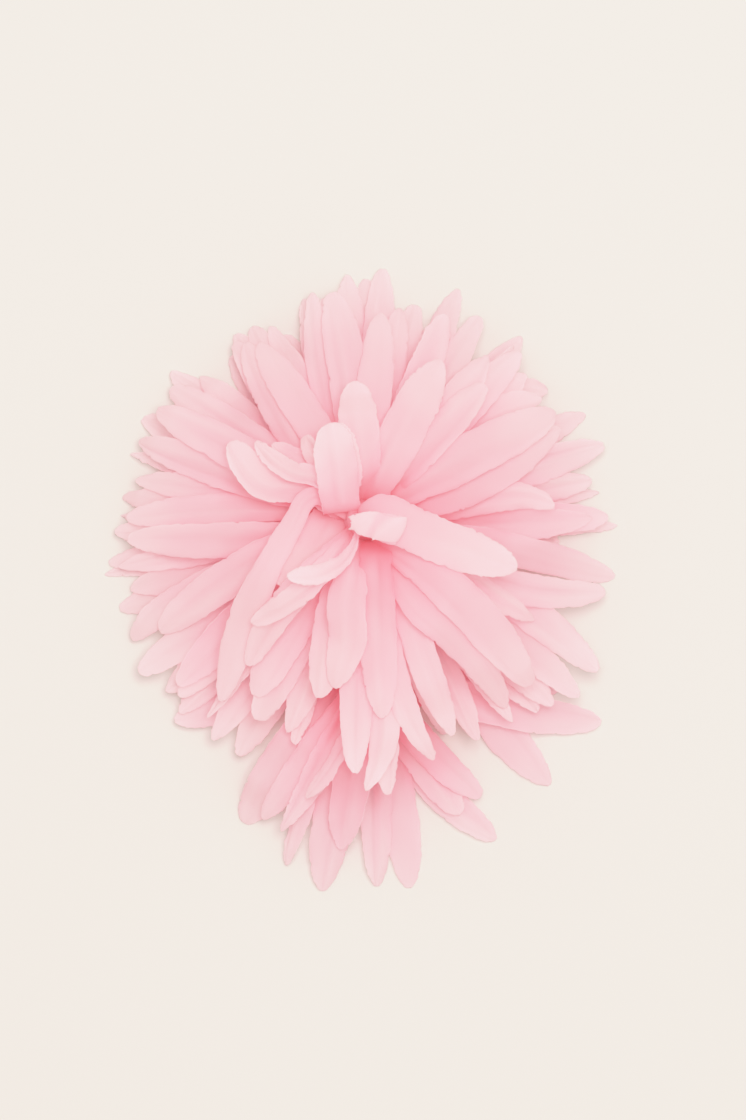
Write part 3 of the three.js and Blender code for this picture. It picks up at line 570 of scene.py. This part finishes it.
def disc(centre, inner, outer):
    """Places of a ring, a cell apart."""
    line = np.arange(-outer, outer + Pile.CELL, Pile.CELL)
    x, y = np.meshgrid(line, line)
    far = np.hypot(x, y)
    inside = (far >= inner) & (far <= outer)
    return centre[0] + x[inside], centre[1] + y[inside]


print("cells of the height map:", Pile.SHAPE, "each", Pile.CELL, "mm")

# %% Lifting a petal over the pile


def lifts_over(need, u, middle):
    """Lifts at the stations, for each arch. need is what the places across ask for at each u. Lifts that surely
    suffice come first. Each is then lowered in turn as far as the places beside it allow, when the petal runs
    straight between stations, and last no station stays steeply below another."""
    part = np.clip(np.searchsorted(STATIONS, u, side="right") - 1, 0, len(STATIONS) - 2)
    t = (u - STATIONS[part]) / (STATIONS[part + 1] - STATIONS[part])
    lifts = np.zeros((len(need), len(STATIONS)))
    for i in range(1, len(STATIONS)):
        lifts[:, i] = np.maximum(need[:, (part == i) | (part == i - 1)].max(1), 0)
    for _ in range(LIFT_SWEEPS):
        for i in range(1, len(STATIONS)):
            least = np.zeros(len(need))
            for near, own, other in ((part == i - 1, t, i - 1), (part == i, 1 - t, i + 1)):
                near = near & (own >= SHARE_MIN)
                if near.any():
                    asked = (need[:, near] - lifts[:, [other]] * (1 - own[near])) / own[near]
                    least = np.maximum(least, asked.max(1))
            lifts[:, i] = least
    at = np.stack([middle[:, np.abs(u - s).argmin()] for s in STATIONS], 1)
    away = np.linalg.norm(at[:, :, None] - at[:, None], axis=-1)
    smoothed = (lifts[:, None, 1:] - LIFT_SLOPE * away[:, :, 1:]).max(-1)
    smoothed = np.maximum(smoothed, 0)
    smoothed[:, 0] = 0
    return smoothed, at[..., 2]


def lay(pile, petal, line, base):
    """The arch and the lifts with the least cost: mean height plus a share of all bumps."""
    u, v = np.linspace(0, 1, SEARCH_POINTS[0]), np.linspace(-1, 1, SEARCH_POINTS[1])
    middle, _, across, normal, _, slope = frames(petal, line, base, *ARCHES.T, u, ARCH_STEPS)
    points = sheet_points(petal, middle, across, normal, u, v)
    steep = 1 / np.maximum(LEAST_COSINE, np.cos(slope))
    clear = (ROOM / 2 + GAP) * steep
    clear[:, u < STATIONS[1]] = np.maximum(clear[:, u < STATIONS[1]], ROOT_CLEAR)
    need = (pile.height(points[..., 0], points[..., 1]) + clear[..., None] - points[..., 2]).max(-1)
    need[:, u < FREE_ROOT * STATIONS[1]] = NO_NEED
    lifts, heights = lifts_over(need, u, middle)
    cost = (heights + lifts).mean(1) + BUMP_COST * np.abs(np.diff(lifts[:, 1:])).sum(1)
    best = cost.argmin()
    return ARCHES[best], lifts[best]


def eased(values, u):
    """A monotone cubic curve through values at the stations: its slope at a station is the harmonic mean of the
    slopes on either side, or zero where they differ in sign."""
    h, d = np.diff(STATIONS), np.diff(values) / np.diff(STATIONS)
    product = d[:-1] * d[1:]
    inner = np.where(product > 0, 2 * product / np.where(product > 0, d[:-1] + d[1:], 1), 0)
    m = np.concatenate([[d[0]], inner, [d[-1]]])
    i = np.clip(np.searchsorted(STATIONS, u, side="right") - 1, 0, len(h) - 1)
    t = (u - STATIONS[i]) / h[i]
    return (
        values[i] * (1 + 2 * t) * (1 - t) ** 2 + values[i + 1] * t * t * (3 - 2 * t)
        + h[i] * t * (1 - t) * (m[i] * (1 - t) - m[i + 1] * t)
    )


# %% [markdown]
# Now the cloth, a fifth of a millimetre thick. Its soft lengthwise creases and waved edges are already in the
# laid surface. What is added is the frayed outline: along the cut edges the outer columns of points move in
# and out by a jagged noise. A torn texture could fray an edge too, but points keep the fray in the mesh
# itself.

# %% Frayed edges
ROWS = 84
ROW_CROWDING = 1.4
EDGE_POWER = 14
WOBBLE_EVERY = 6
NOTCH_ABOVE = 0.955
COLUMNS = np.array([-1, -0.94, -0.8, -0.6, -0.4, -0.2, 0, 0.2, 0.4, 0.6, 0.8, 0.94, 1])
ROW_AT = 1 - (1 - np.linspace(0, 1, ROWS + 1)) ** ROW_CROWDING
print("points along and across a petal:", len(ROW_AT), len(COLUMNS))


def jagged(count, rough):
    """Noise along an edge: short teeth, a slower wobble and now and then a longer notch."""
    teeth = detail.normal(0, 1, count)
    teeth = 0.6 * teeth + 0.4 * np.roll(teeth, 1)
    knots = np.arange(0, count + WOBBLE_EVERY, WOBBLE_EVERY)
    slow = np.interp(np.arange(count), knots, detail.normal(0, 1, len(knots)))
    notch = (detail.random(count) > NOTCH_ABOVE) * detail.uniform(0.6, 2.2, count)
    return rough * (0.6 * teeth + 0.5 * slow - notch)


def cloth_points(petal, line, base, laid):
    """The middle surface of the finished petal, rows by columns, its unit normals and its length."""
    (last, bend), lifts = laid
    u, v = ROW_AT, COLUMNS
    exact = frames(petal, line, base, last, bend, u, FINE_STEPS)
    middle, forward, across, normal, length, _ = (x[0] for x in exact)
    middle = middle + np.array([0, 0, 1]) * eased(lifts, u)[:, None]
    points = sheet_points(petal, middle[None], across[None], normal[None], u, v)[0]
    half = petal["width"] / 2 * FULLNESS * width_share(petal, u, v)
    for side in (-1, 1):
        taper = np.gradient(half[:, 0 if side < 0 else -1], u * length)
        out = np.stack([-taper, np.ones_like(taper)], -1) / np.hypot(taper, 1)[:, None]
        fray = jagged(len(u), petal["rough"]) * smooth(u / 0.1)
        weight = np.clip(side * v, 0, 1) ** EDGE_POWER
        step = forward * out[:, :1] + side * across * out[:, 1:]
        points += step[:, None] * (fray[:, None] * weight)[..., None]
    facing = np.cross(np.gradient(points, axis=0), np.gradient(points, axis=1))
    facing /= np.maximum(np.linalg.norm(facing, axis=-1, keepdims=True), 1e-9)
    return points, facing, length


# %% [markdown]
# A petal becomes a closed thin solid: the middle surface moved half a thickness up and half down, and a strip
# of faces round the rim. The cut edge is thinner than the middle. Each point also keeps three values for the
# cloth material: how far it is along the petal, its place on the flat cloth in millimetres, and its tone. The
# tone is the petal's own tone, with painted highlight and shade on its creases and rim added.

# %% A closed blade from a grid of points
RIM_THINNER = 3


def closed_blade(points, facing):
    """Vertices and quads of the solid between the points moved along the normals by plus and minus half the
    thickness, which falls to a third on the rim."""
    rows, columns = points.shape[:2]
    thick = np.full((rows, columns), CLOTH / 2)
    thick[:, [0, -1]] /= RIM_THINNER
    thick[-1] /= RIM_THINNER
    top = points + facing * thick[..., None]
    low = points - facing * thick[..., None]
    index = np.arange(rows * columns).reshape(rows, columns)
    a, b, c, d = index[:-1, :-1], index[1:, :-1], index[1:, 1:], index[:-1, 1:]
    upper = np.stack([a, b, c, d], -1).reshape(-1, 4)
    lower = np.stack([a, d, c, b], -1).reshape(-1, 4) + rows * columns
    rim = np.concatenate([index[:-1, 0], index[-1, :-1], index[:0:-1, -1], index[0, :0:-1]])
    after = np.roll(rim, -1)
    edge = np.stack([rim, rim + rows * columns, after + rows * columns, after], -1)
    return np.concatenate([top.reshape(-1, 3), low.reshape(-1, 3)]), np.concatenate([upper, lower, edge])


def ring_blade(centre, inner, outer, low, high, sides=48):
    """A flat ring: a square profile carried once round the centre."""
    profile = np.array([(inner, low), (outer, low), (outer, high), (inner, high)])
    turn = np.linspace(0, 2 * np.pi, sides, endpoint=False)
    x = centre[0] + profile[None, :, 0] * np.cos(turn)[:, None]
    y = centre[1] + profile[None, :, 0] * np.sin(turn)[:, None]
    z = np.broadcast_to(profile[:, 1], x.shape)
    index = np.arange(sides * 4).reshape(sides, 4)
    after = np.roll(index, -1, 0)
    quads = np.stack([index, after, np.roll(after, -1, 1), np.roll(index, -1, 1)], -1).reshape(-1, 4)
    return np.stack([x, y, z], -1).reshape(-1, 3), quads


print("faces of one ring:", len(ring_blade(MAIN_HUB, HOLE_RADIUS, ROUNDS[0]["ring"], 0, 1)[1]))

# %% [markdown]
# One mesh object holds a whole stamped round, as one piece of cloth does, and stands for that round's CAD node.
# It collects its ring and its petals as arrays and stores them in one go. Painted highlight and shade go into
# the tone: the ridge of a crease is painted a little paler than its valley (`FOLD_PAINTED_SHADING`), and the
# frayed rim is painted paler than the strip beside it, which is painted pinker as a shadow line
# (`RIM_PAINTED_SHADING`).

# %% Collecting a round into one mesh


class Cloth:
    """Arrays of the blades of one round, on their way into a mesh."""

    def __init__(self):
        self.points, self.quads, self.along, self.weave, self.tone = [], [], [], [], []
        self.count = 0

    def add(self, points, quads, along, weave, tone):
        """Adds a blade, whose faces count their points on from those already here."""
        self.points.append(points)
        self.quads.append(quads + self.count)
        self.along.append(along)
        self.weave.append(weave)
        self.tone.append(np.broadcast_to(tone, len(points)))
        self.count += len(points)

    def mesh(self, name):
        """A mesh object in metres, at the origin, with the three values as attributes."""
        points = np.concatenate(self.points)
        points = (points + np.array([*ORIGIN, 0])) * MM
        quads = np.concatenate(self.quads)
        data = bpy.data.meshes.new(name)
        data.vertices.add(len(points))
        data.vertices.foreach_set("co", points.astype(np.float32).ravel())
        data.loops.add(quads.size)
        data.loops.foreach_set("vertex_index", quads.astype(np.int32).ravel())
        data.polygons.add(len(quads))
        data.polygons.foreach_set("loop_start", np.arange(0, quads.size, 4, dtype=np.int32))
        data.polygons.foreach_set("use_smooth", np.ones(len(quads), bool))
        for label, values in (("along", self.along), ("tone", self.tone)):
            stored = data.attributes.new(label, "FLOAT", "POINT")
            stored.data.foreach_set("value", np.concatenate(values).astype(np.float32))
        weave = data.attributes.new("weave", "FLOAT_VECTOR", "POINT")
        weave.data.foreach_set("vector", np.concatenate(self.weave).astype(np.float32).ravel())
        data.update(calc_edges=True)
        data.validate()
        piece = bpy.data.objects.new(name, data)
        bpy.context.scene.collection.objects.link(piece)
        return piece


WEAVE_STEP, WEAVE_LAYERS = 17.0, 97
# Painted highlight and shade on the creases: a crease ridge is painted paler and its valley pinker, as light
# and shade would fall across the fold.
FOLD_PAINTED_SHADING = 1.7
# Painted highlight and shadow line on the edges: column by column, the frayed rim is painted paler and the
# strip just inside it pinker.
RIM_PAINTED_SHADING = np.array([1.8, -1.2, -0.3, 0, 0, 0, 0, 0, 0, 0, -0.3, -1.2, 1.8])


def add_petal(cloth, petal, points, facing, length):
    """Adds one petal with its values: distance along it, place on the flat cloth and tone, which carries
    painted highlight and shade on creases and rim, both faces alike.
    """
    solid, quads = closed_blade(points, facing)
    u, v = np.meshgrid(ROW_AT[: len(points)], COLUMNS, indexing="ij")
    layer = np.full_like(u, WEAVE_STEP * (cloth.count % WEAVE_LAYERS))
    flat = np.stack([v * petal["width"] / 2, u * length, layer], -1).reshape(-1, 3)
    # Painted light and shade in the tone: crease ridges are paler and valleys pinker, and each rim is paler
    # with a pinker strip beside it.
    tone = petal["tone"] + FOLD_PAINTED_SHADING * relief(petal, ROW_AT, COLUMNS) + RIM_PAINTED_SHADING
    cloth.add(solid, quads, np.tile(u.ravel(), 2), np.tile(flat, (2, 1)), np.tile(tone.ravel(), 2))


# %% [markdown]
# A round is laid as a maker would thread it on. Its ring comes to rest on the highest thing below it, and
# then its petals settle over the pile one by one. A cloth simulation could do the same, but would carry
# petals away from their places. Creases and lean count while a petal is laid, so this pile stands some
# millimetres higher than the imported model's, whose petals have neither.

# %% Laying a round on the pile


def make_round(stamp, hub, pile):
    """Lays the petals of one round over the pile and returns them as one cloth, with the top of its ring."""
    x, y = disc(hub, HOLE_RADIUS - HOLE_MARGIN, stamp["ring"])
    pile.widen()
    base = max(0, pile.height(x, y).max()) + RING_GAP
    middle = base + RING_ROOM / 2
    under = Pile(pile.top)
    cloth = Cloth()
    ring, quads = ring_blade(hub, HOLE_RADIUS, stamp["ring"], middle - RING_HALF, middle + RING_HALF)
    cloth.add(ring, quads, np.zeros(len(ring)), ring, 0)
    for petal in described(stamp):
        root = petal["root"] or hub + circle_point(stamp["ring"] - ROOT_INSET, petal["heading"])
        line = plan_line(petal, np.array(root), hub)
        under.widen()
        laid = lay(under, petal, line, middle)
        u, v = np.linspace(0, 1, FILL_POINTS[0]), np.linspace(-1, 1, FILL_POINTS[1])
        place, _, across, normal, _, slope = frames(petal, line, middle, *laid[0], u, ARCH_STEPS)
        place = place + np.array([0, 0, 1]) * eased(laid[1], u)[:, None]
        surface = sheet_points(petal, place, across, normal, u, v)[0]
        top = surface[..., 2] + (ROOM / 2 / np.maximum(LEAST_COSINE, np.cos(slope[0])))[:, None]
        far = np.hypot(surface[..., 0] - hub[0], surface[..., 1] - hub[1]) > stamp["ring"] + ROOT_ZONE
        pile.raise_to(surface[..., 0], surface[..., 1], top)
        under.raise_to(surface[far][:, 0], surface[far][:, 1], top[far])
        points, facing, length = cloth_points(petal, line, middle, laid)
        add_petal(cloth, petal, points, facing, length)
    pile.raise_to(*disc(hub, 0, stamp["ring"]), base + RING_ROOM)
    return cloth, base + RING_ROOM


# %% The felt and the two flanges, on which all rounds lie
pile = Pile()
half, reach = FELT["width"] / 2, FELT["length"] / 2
x, y = np.meshgrid(np.arange(-half, half, Pile.CELL), np.arange(-reach, reach, Pile.CELL))
inside = np.hypot(x, np.maximum(0, np.abs(y) - reach + half)) <= half
pile.raise_to(FELT["middle"][0] + x[inside], FELT["middle"][1] + y[inside], FELT["thick"])
for hub in (MAIN_HUB, SKIRT_HUB):
    pile.raise_to(*disc(hub, 0, FLANGE["radius"]), FLANGE["top"])
print("highest ground in mm:", pile.top.max())

# %% All rounds, from the table up
cloths = {}
for number, stamp in enumerate(SKIRT_ROUNDS, 1):
    cloths[f"skirt_layer_{number}"], top = make_round(stamp, SKIRT_HUB, pile)
    print("skirt round", number, "ring top", round(top, 2))
for number, stamp in enumerate(ROUNDS, 1):
    cloths[f"petal_layer_{number:02d}"], top = make_round(stamp, MAIN_HUB, pile)
    print("main round", number, "ring top", round(top, 2))

# %% [markdown]
# The hood is laid from its listed cross-sections. Splines run through the two edges of its cross-sections,
# straight lines join them, and a low crown rounds them. Its free end is frayed. It belongs to the top round and
# joins that round's mesh.

# %% The curled hood over the heart


def hood_points(top):
    """Points: upper edge * (1 - v) / 2 + lower edge * (1 + v) / 2 + normal * crown * (1/2 - v squared)."""
    t = np.linspace(0, len(HOOD) - 1, HOOD_ROWS)
    upper, lower = (through(np.array([row[side] for row in HOOD], float), t) for side in (0, 1))
    v = COLUMNS[None, :, None]
    upper, lower = upper[:, None], lower[:, None]
    points = upper * (1 - v) / 2 + lower * (1 + v) / 2 + np.array([0, 0, top])
    over = lower - upper
    facing = np.cross(np.gradient(points, axis=0), over)
    facing /= np.linalg.norm(facing, axis=-1, keepdims=True)
    points += facing * (HOOD_CROWN * smooth(t / 2)[:, None, None] * (0.5 - v**2))
    for edge in (-1, 1):
        fray = jagged(len(t), HOOD_FRAY["sides"])[:, None] * np.clip(edge * COLUMNS, 0, 1) ** EDGE_POWER
        points += edge * over / np.linalg.norm(over, axis=-1, keepdims=True) * fray[..., None]
    points[-1] += np.array([-1, 0, 0]) * np.abs(jagged(len(COLUMNS), HOOD_FRAY["end"]))[:, None]
    facing = np.cross(np.gradient(points, axis=0), np.gradient(points, axis=1))
    facing /= np.linalg.norm(facing, axis=-1, keepdims=True)
    return points, facing, t / t[-1]


points, facing, share = hood_points(top)
solid, quads = closed_blade(points, facing)
u, v = np.meshgrid(share, COLUMNS, indexing="ij")
layer = np.full_like(u, HOOD_FLAT["layer"])
flat = np.stack([v * HOOD_FLAT["half"], u * HOOD_FLAT["length"], layer], -1).reshape(-1, 3)
# Painted shade: the tone is pinker in a band along the crease.
crease = (u - HOOD_SHADE["at"] - HOOD_SHADE["drift"] * v) / HOOD_SHADE["breadth"]
# Painted shade: rim here grows from the middle to the lower edge and makes that side of the hood pinker.
rim = smooth((v - HOOD_LOWER_SHADE["start"]) / HOOD_LOWER_SHADE["over"])
tone = HOOD_TONE - HOOD_SHADE["depth"] * np.exp(-(crease**2)) - HOOD_LOWER_SHADE["depth"] * rim
cloths["petal_layer_13"].add(
    solid, quads, np.tile(u.ravel(), 2), np.tile(flat, (2, 1)), np.tile(tone.ravel(), 2))
print("hood faces:", len(quads))

# %% [markdown]
# The cloth is thin and sheer. Light falls on it and also comes through it, so its shader is a Principled
# surface mixed with a Translucent one of the same colour. The dye is strongest at the root and fades to a
# pale blush at the tip. The weave is two crossed sets of threads, read from the place on the flat cloth, so
# it bends with the petal.

# %% The petal cloth
ROOT_PINK = (0.985, 0.57, 0.655, 1)
ROSE_PINK = (0.985, 0.71, 0.775, 1)
BLUSH = (0.985, 0.815, 0.86, 1)
PALE_TIP = (0.985, 0.885, 0.905, 1)
DYE = ((0.0, ROOT_PINK), (0.22, ROSE_PINK), (0.55, BLUSH), (0.95, PALE_TIP))
BLOTCH = 0.22
TONE_STEP = 0.10
LIGHT_THROUGH = 0.62


def new_material(name):
    """A node material with its Principled shader."""
    material = bpy.data.materials.new(name)
    material.use_nodes = True
    shader = material.node_tree.nodes["Principled BSDF"]
    return material, material.node_tree, shader


def set_sockets(shader, values):
    """Puts values on the shader's own sockets, by their names."""
    for socket, value in values.items():
        shader.inputs[socket].default_value = value


def node(tree, kind, **settings):
    """A node with its settings, whose inputs are named by their sockets."""
    made = tree.nodes.new(kind)
    for key, value in settings.items():
        if key in made.inputs:
            made.inputs[key].default_value = value
        else:
            setattr(made, key, value)
    return made


def petal_cloth():
    """Colour from the dye at (along + tone * step + blotch), woven bump, and light through the cloth."""
    material, tree, shader = new_material("petal_cloth")
    link = tree.links.new
    along_petal = node(tree, "ShaderNodeAttribute", attribute_name="along")
    tone = node(tree, "ShaderNodeAttribute", attribute_name="tone")
    weave = node(tree, "ShaderNodeAttribute", attribute_name="weave")
    place = node(tree, "ShaderNodeTexCoord")
    blotch = node(tree, "ShaderNodeTexNoise", Scale=90.0, Detail=2.0)
    link(place.outputs["Object"], blotch.inputs["Vector"])
    shift = node(tree, "ShaderNodeMath", operation="MULTIPLY_ADD")
    shift.inputs[1].default_value = BLOTCH
    shift.inputs[2].default_value = -BLOTCH / 2
    link(blotch.outputs["Fac"], shift.inputs[0])
    vary = node(tree, "ShaderNodeMath", operation="MULTIPLY_ADD")
    vary.inputs[1].default_value = TONE_STEP
    link(tone.outputs["Fac"], vary.inputs[0])
    link(shift.outputs[0], vary.inputs[2])
    dye = node(tree, "ShaderNodeMath", operation="ADD", use_clamp=True)
    link(along_petal.outputs["Fac"], dye.inputs[0])
    link(vary.outputs[0], dye.inputs[1])
    ramp = node(tree, "ShaderNodeValToRGB")
    ramp.color_ramp.interpolation = "EASE"
    for i, (at, colour) in enumerate(DYE):
        stop = ramp.color_ramp.elements[i] if i < 2 else ramp.color_ramp.elements.new(at)
        stop.position = at
        stop.color = colour
    link(dye.outputs[0], ramp.inputs["Fac"])
    link(ramp.outputs["Color"], shader.inputs["Base Color"])
    threads = []
    for direction in ("X", "Y"):
        band = node(tree, "ShaderNodeTexWave", bands_direction=direction, Scale=1.1, Distortion=0.6)
        band.inputs["Detail Scale"].default_value = 2.0
        link(weave.outputs["Vector"], band.inputs["Vector"])
        threads.append(band)
    cross = node(tree, "ShaderNodeMath", operation="MAXIMUM")
    link(threads[0].outputs["Fac"], cross.inputs[0])
    link(threads[1].outputs["Fac"], cross.inputs[1])
    bump = node(tree, "ShaderNodeBump", Strength=0.25, Distance=0.00006)
    link(cross.outputs[0], bump.inputs["Height"])
    link(bump.outputs["Normal"], shader.inputs["Normal"])
    set_sockets(shader, {
        "Roughness": 0.85, "Specular IOR Level": 0.25,
        "Sheen Weight": 0.25, "Sheen Roughness": 0.5, "Sheen Tint": (1, 0.85, 0.88, 1),
    })
    through = node(tree, "ShaderNodeBsdfTranslucent")
    link(ramp.outputs["Color"], through.inputs["Color"])
    mix = node(tree, "ShaderNodeMixShader")
    mix.inputs["Fac"].default_value = LIGHT_THROUGH
    link(shader.outputs["BSDF"], mix.inputs[1])
    link(through.outputs["BSDF"], mix.inputs[2])
    link(mix.outputs["Shader"], tree.nodes["Material Output"].inputs["Surface"])
    return material


CLOTH_FINISH = petal_cloth()
print("nodes in the cloth:", len(CLOTH_FINISH.node_tree.nodes))

# %% [markdown]
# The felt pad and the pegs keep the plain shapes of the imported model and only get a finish. Matted wool is
# fine noise as bump over soft patches of dye. The moulded pegs are smooth, off-white and a little cloudy.
# They don't show from above, but the back of the flower does in other views. Loose fibres could be hair, but
# felt this dense shows none at arm's length.

# %% The felt pad and the white pegs


def felt():
    """Pinks mixed by a soft noise, with a fine noise as bump."""
    material, tree, shader = new_material("felt")
    link = tree.links.new
    place = node(tree, "ShaderNodeTexCoord")
    wool = node(tree, "ShaderNodeTexNoise", Scale=900.0, Detail=6.0, Roughness=0.7)
    patch = node(tree, "ShaderNodeTexNoise", Scale=120.0, Detail=2.0)
    for noise in (wool, patch):
        link(place.outputs["Object"], noise.inputs["Vector"])
    ramp = node(tree, "ShaderNodeValToRGB")
    ramp.color_ramp.elements[0].color = (0.72, 0.32, 0.40, 1)
    ramp.color_ramp.elements[1].color = (0.86, 0.46, 0.53, 1)
    link(patch.outputs["Fac"], ramp.inputs["Fac"])
    link(ramp.outputs["Color"], shader.inputs["Base Color"])
    bump = node(tree, "ShaderNodeBump", Strength=0.8, Distance=0.0004)
    link(wool.outputs["Fac"], bump.inputs["Height"])
    link(bump.outputs["Normal"], shader.inputs["Normal"])
    set_sockets(shader, {"Roughness": 0.95, "Sheen Weight": 0.4})
    return material


def peg_plastic():
    """Off-whites mixed by a noise, under a soft gloss."""
    material, tree, shader = new_material("peg_plastic")
    link = tree.links.new
    place = node(tree, "ShaderNodeTexCoord")
    cloud = node(tree, "ShaderNodeTexNoise", Scale=300.0, Detail=3.0)
    link(place.outputs["Object"], cloud.inputs["Vector"])
    ramp = node(tree, "ShaderNodeValToRGB")
    ramp.color_ramp.elements[0].color = (0.84, 0.78, 0.76, 1)
    ramp.color_ramp.elements[1].color = (0.90, 0.85, 0.83, 1)
    link(cloud.outputs["Fac"], ramp.inputs["Fac"])
    link(ramp.outputs["Color"], shader.inputs["Base Color"])
    set_sockets(shader, {"Roughness": 0.38})
    return material


# %% [markdown]
# Now each round becomes one mesh. It stands for the CAD node of the same round and rides on the flower's only
# body. One mesh for each petal would work too, but a stamped round is one piece of cloth.

# %% Store the rounds and dress the carried-over nodes
for name, cloth in cloths.items():
    piece = cloth.mesh(name.replace("_layer", "s_round"))
    piece.data.materials.append(CLOTH_FINISH)
    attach(piece, "root")
    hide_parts(name)
print("cloth faces:", sum(len(np.concatenate(c.quads)) for c in cloths.values()))
for name, finish in (("backing_felt", felt()), ("centre_post", peg_plastic()), ("skirt_peg", peg_plastic())):
    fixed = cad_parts[name]
    fixed.data.materials.clear()
    fixed.data.materials.append(finish)

# %% [markdown]
# The table is a plain pale sheet, much wider than the picture. A curved backdrop is the other usual way, but
# seen from straight above a flat sheet is the same. Its colour looks green by its numbers, because the
# camera's response further down lifts red most, and the two were chosen together.

# %% Table
TABLE = (0.607, 0.728, 0.668, 1)
TABLE_HALF = 1.6
TABLE_TOP = -2e-4
table = bpy.data.meshes.new("table")
corners = [(x * TABLE_HALF, y * TABLE_HALF, TABLE_TOP) for x, y in ((-1, -1), (1, -1), (1, 1), (-1, 1))]
table.from_pydata(corners, [], [(0, 1, 2, 3)])
floor = bpy.data.objects.new("table", table)
bpy.context.scene.collection.objects.link(floor)
paper, tree, shader = new_material("table_paper")
set_sockets(shader, {"Base Color": TABLE, "Roughness": 0.9, "Specular IOR Level": 0.1})
table.materials.append(paper)
print("table side in m:", 2 * TABLE_HALF)

# %% [markdown]
# The light is soft: a bright even sky, and one wide lamp nearly overhead, a little up and to the right in the
# picture. It leaves only faint shadows. A lamp further to the side would model the petals more, but would put
# one half of the flower in the shade.

# %% Light
SKY_STRENGTH = 0.72
LAMP_SIZE = 0.6
LAMP_WATTS = 14
LAMP_PLACE = (0.12, 0.2, 1.5)
world = bpy.data.worlds.new("soft_sky")
bpy.context.scene.world = world
world.use_nodes = True
world.node_tree.nodes["Background"].inputs["Color"].default_value = (1.0, 0.99, 0.975, 1)
world.node_tree.nodes["Background"].inputs["Strength"].default_value = SKY_STRENGTH

lamp_data = bpy.data.lights.new("window", "AREA")
lamp_data.shape = "RECTANGLE"
lamp_data.size, lamp_data.size_y = LAMP_SIZE, LAMP_SIZE
lamp_data.energy = LAMP_WATTS
lamp = bpy.data.objects.new("window", lamp_data)
lamp.location = LAMP_PLACE
bpy.context.scene.collection.objects.link(lamp)


def aim(thing, target):
    """Turns a lamp or camera so that its own minus Z axis points at the target."""
    way = Vector(target) - thing.location
    thing.rotation_euler = way.to_track_quat("-Z", "Y").to_euler()


aim(lamp, (0, 0, 0))
print("lamp in m:", LAMP_PLACE, "watts:", LAMP_WATTS)

# %% [markdown]
# The camera hangs straight over the flower, far off and with a long lens, so that high petals aren't drawn
# larger than low ones. Its soft response is a curve in the colour management, under the Standard transform:
# darks are lifted, brights roll off gently and red comes up early, as in a pale studio picture. A film-like
# transform could be taken instead, but would grey the pinks. Light crosses many layers of sheer cloth, so it
# may bounce more often than is usual.

# %% Camera and its response
BRIGHTEST = 1.5
RESPONSE = [(light / BRIGHTEST, shown) for light, shown in (
    (0, 0.03), (0.2, 0.25), (0.35, 0.4), (0.58, 0.604), (0.75, 0.715), (1.0, 0.875), (1.5, 0.98))]
RED_RESPONSE = [(0, 0), (0.4, 0.58), (0.665, 0.81), (0.785, 0.907), (0.86, 0.968), (1, 1)]
MM_PER_PIXEL = 0.25
PICTURE = (746, 1120)
VIEW_MIDDLE = ORIGIN + np.array([2.75, -10])
LENS = 300
SENSOR = 24
CAMERA_RISE = 15
camera_data = bpy.data.cameras.new("camera")
camera_data.sensor_fit = "VERTICAL"
camera_data.sensor_height = SENSOR
camera_data.lens = LENS
camera_data.clip_end = 20
height = PICTURE[1] * MM_PER_PIXEL * LENS / SENSOR + CAMERA_RISE
camera = bpy.data.objects.new("camera", camera_data)
camera.location = (VIEW_MIDDLE[0] * MM, VIEW_MIDDLE[1] * MM, height * MM)
bpy.context.scene.collection.objects.link(camera)
bpy.context.scene.camera = camera
view = bpy.context.scene.view_settings
view.view_transform = "Standard"
view.use_curve_mapping = True
tones = view.curve_mapping
tones.white_level = (BRIGHTEST,) * 3
for curve, knots in ((tones.curves[3], RESPONSE), (tones.curves[0], RED_RESPONSE)):
    for at, shown in knots[1:-1]:
        curve.points.new(at, shown)
    for point, (at, shown) in zip(curve.points, knots):
        point.location = (at, shown)
tones.update()
cycles = bpy.context.scene.cycles
cycles.max_bounces = 24
cycles.diffuse_bounces = cycles.transmission_bounces = 16
print("camera height in mm:", height)
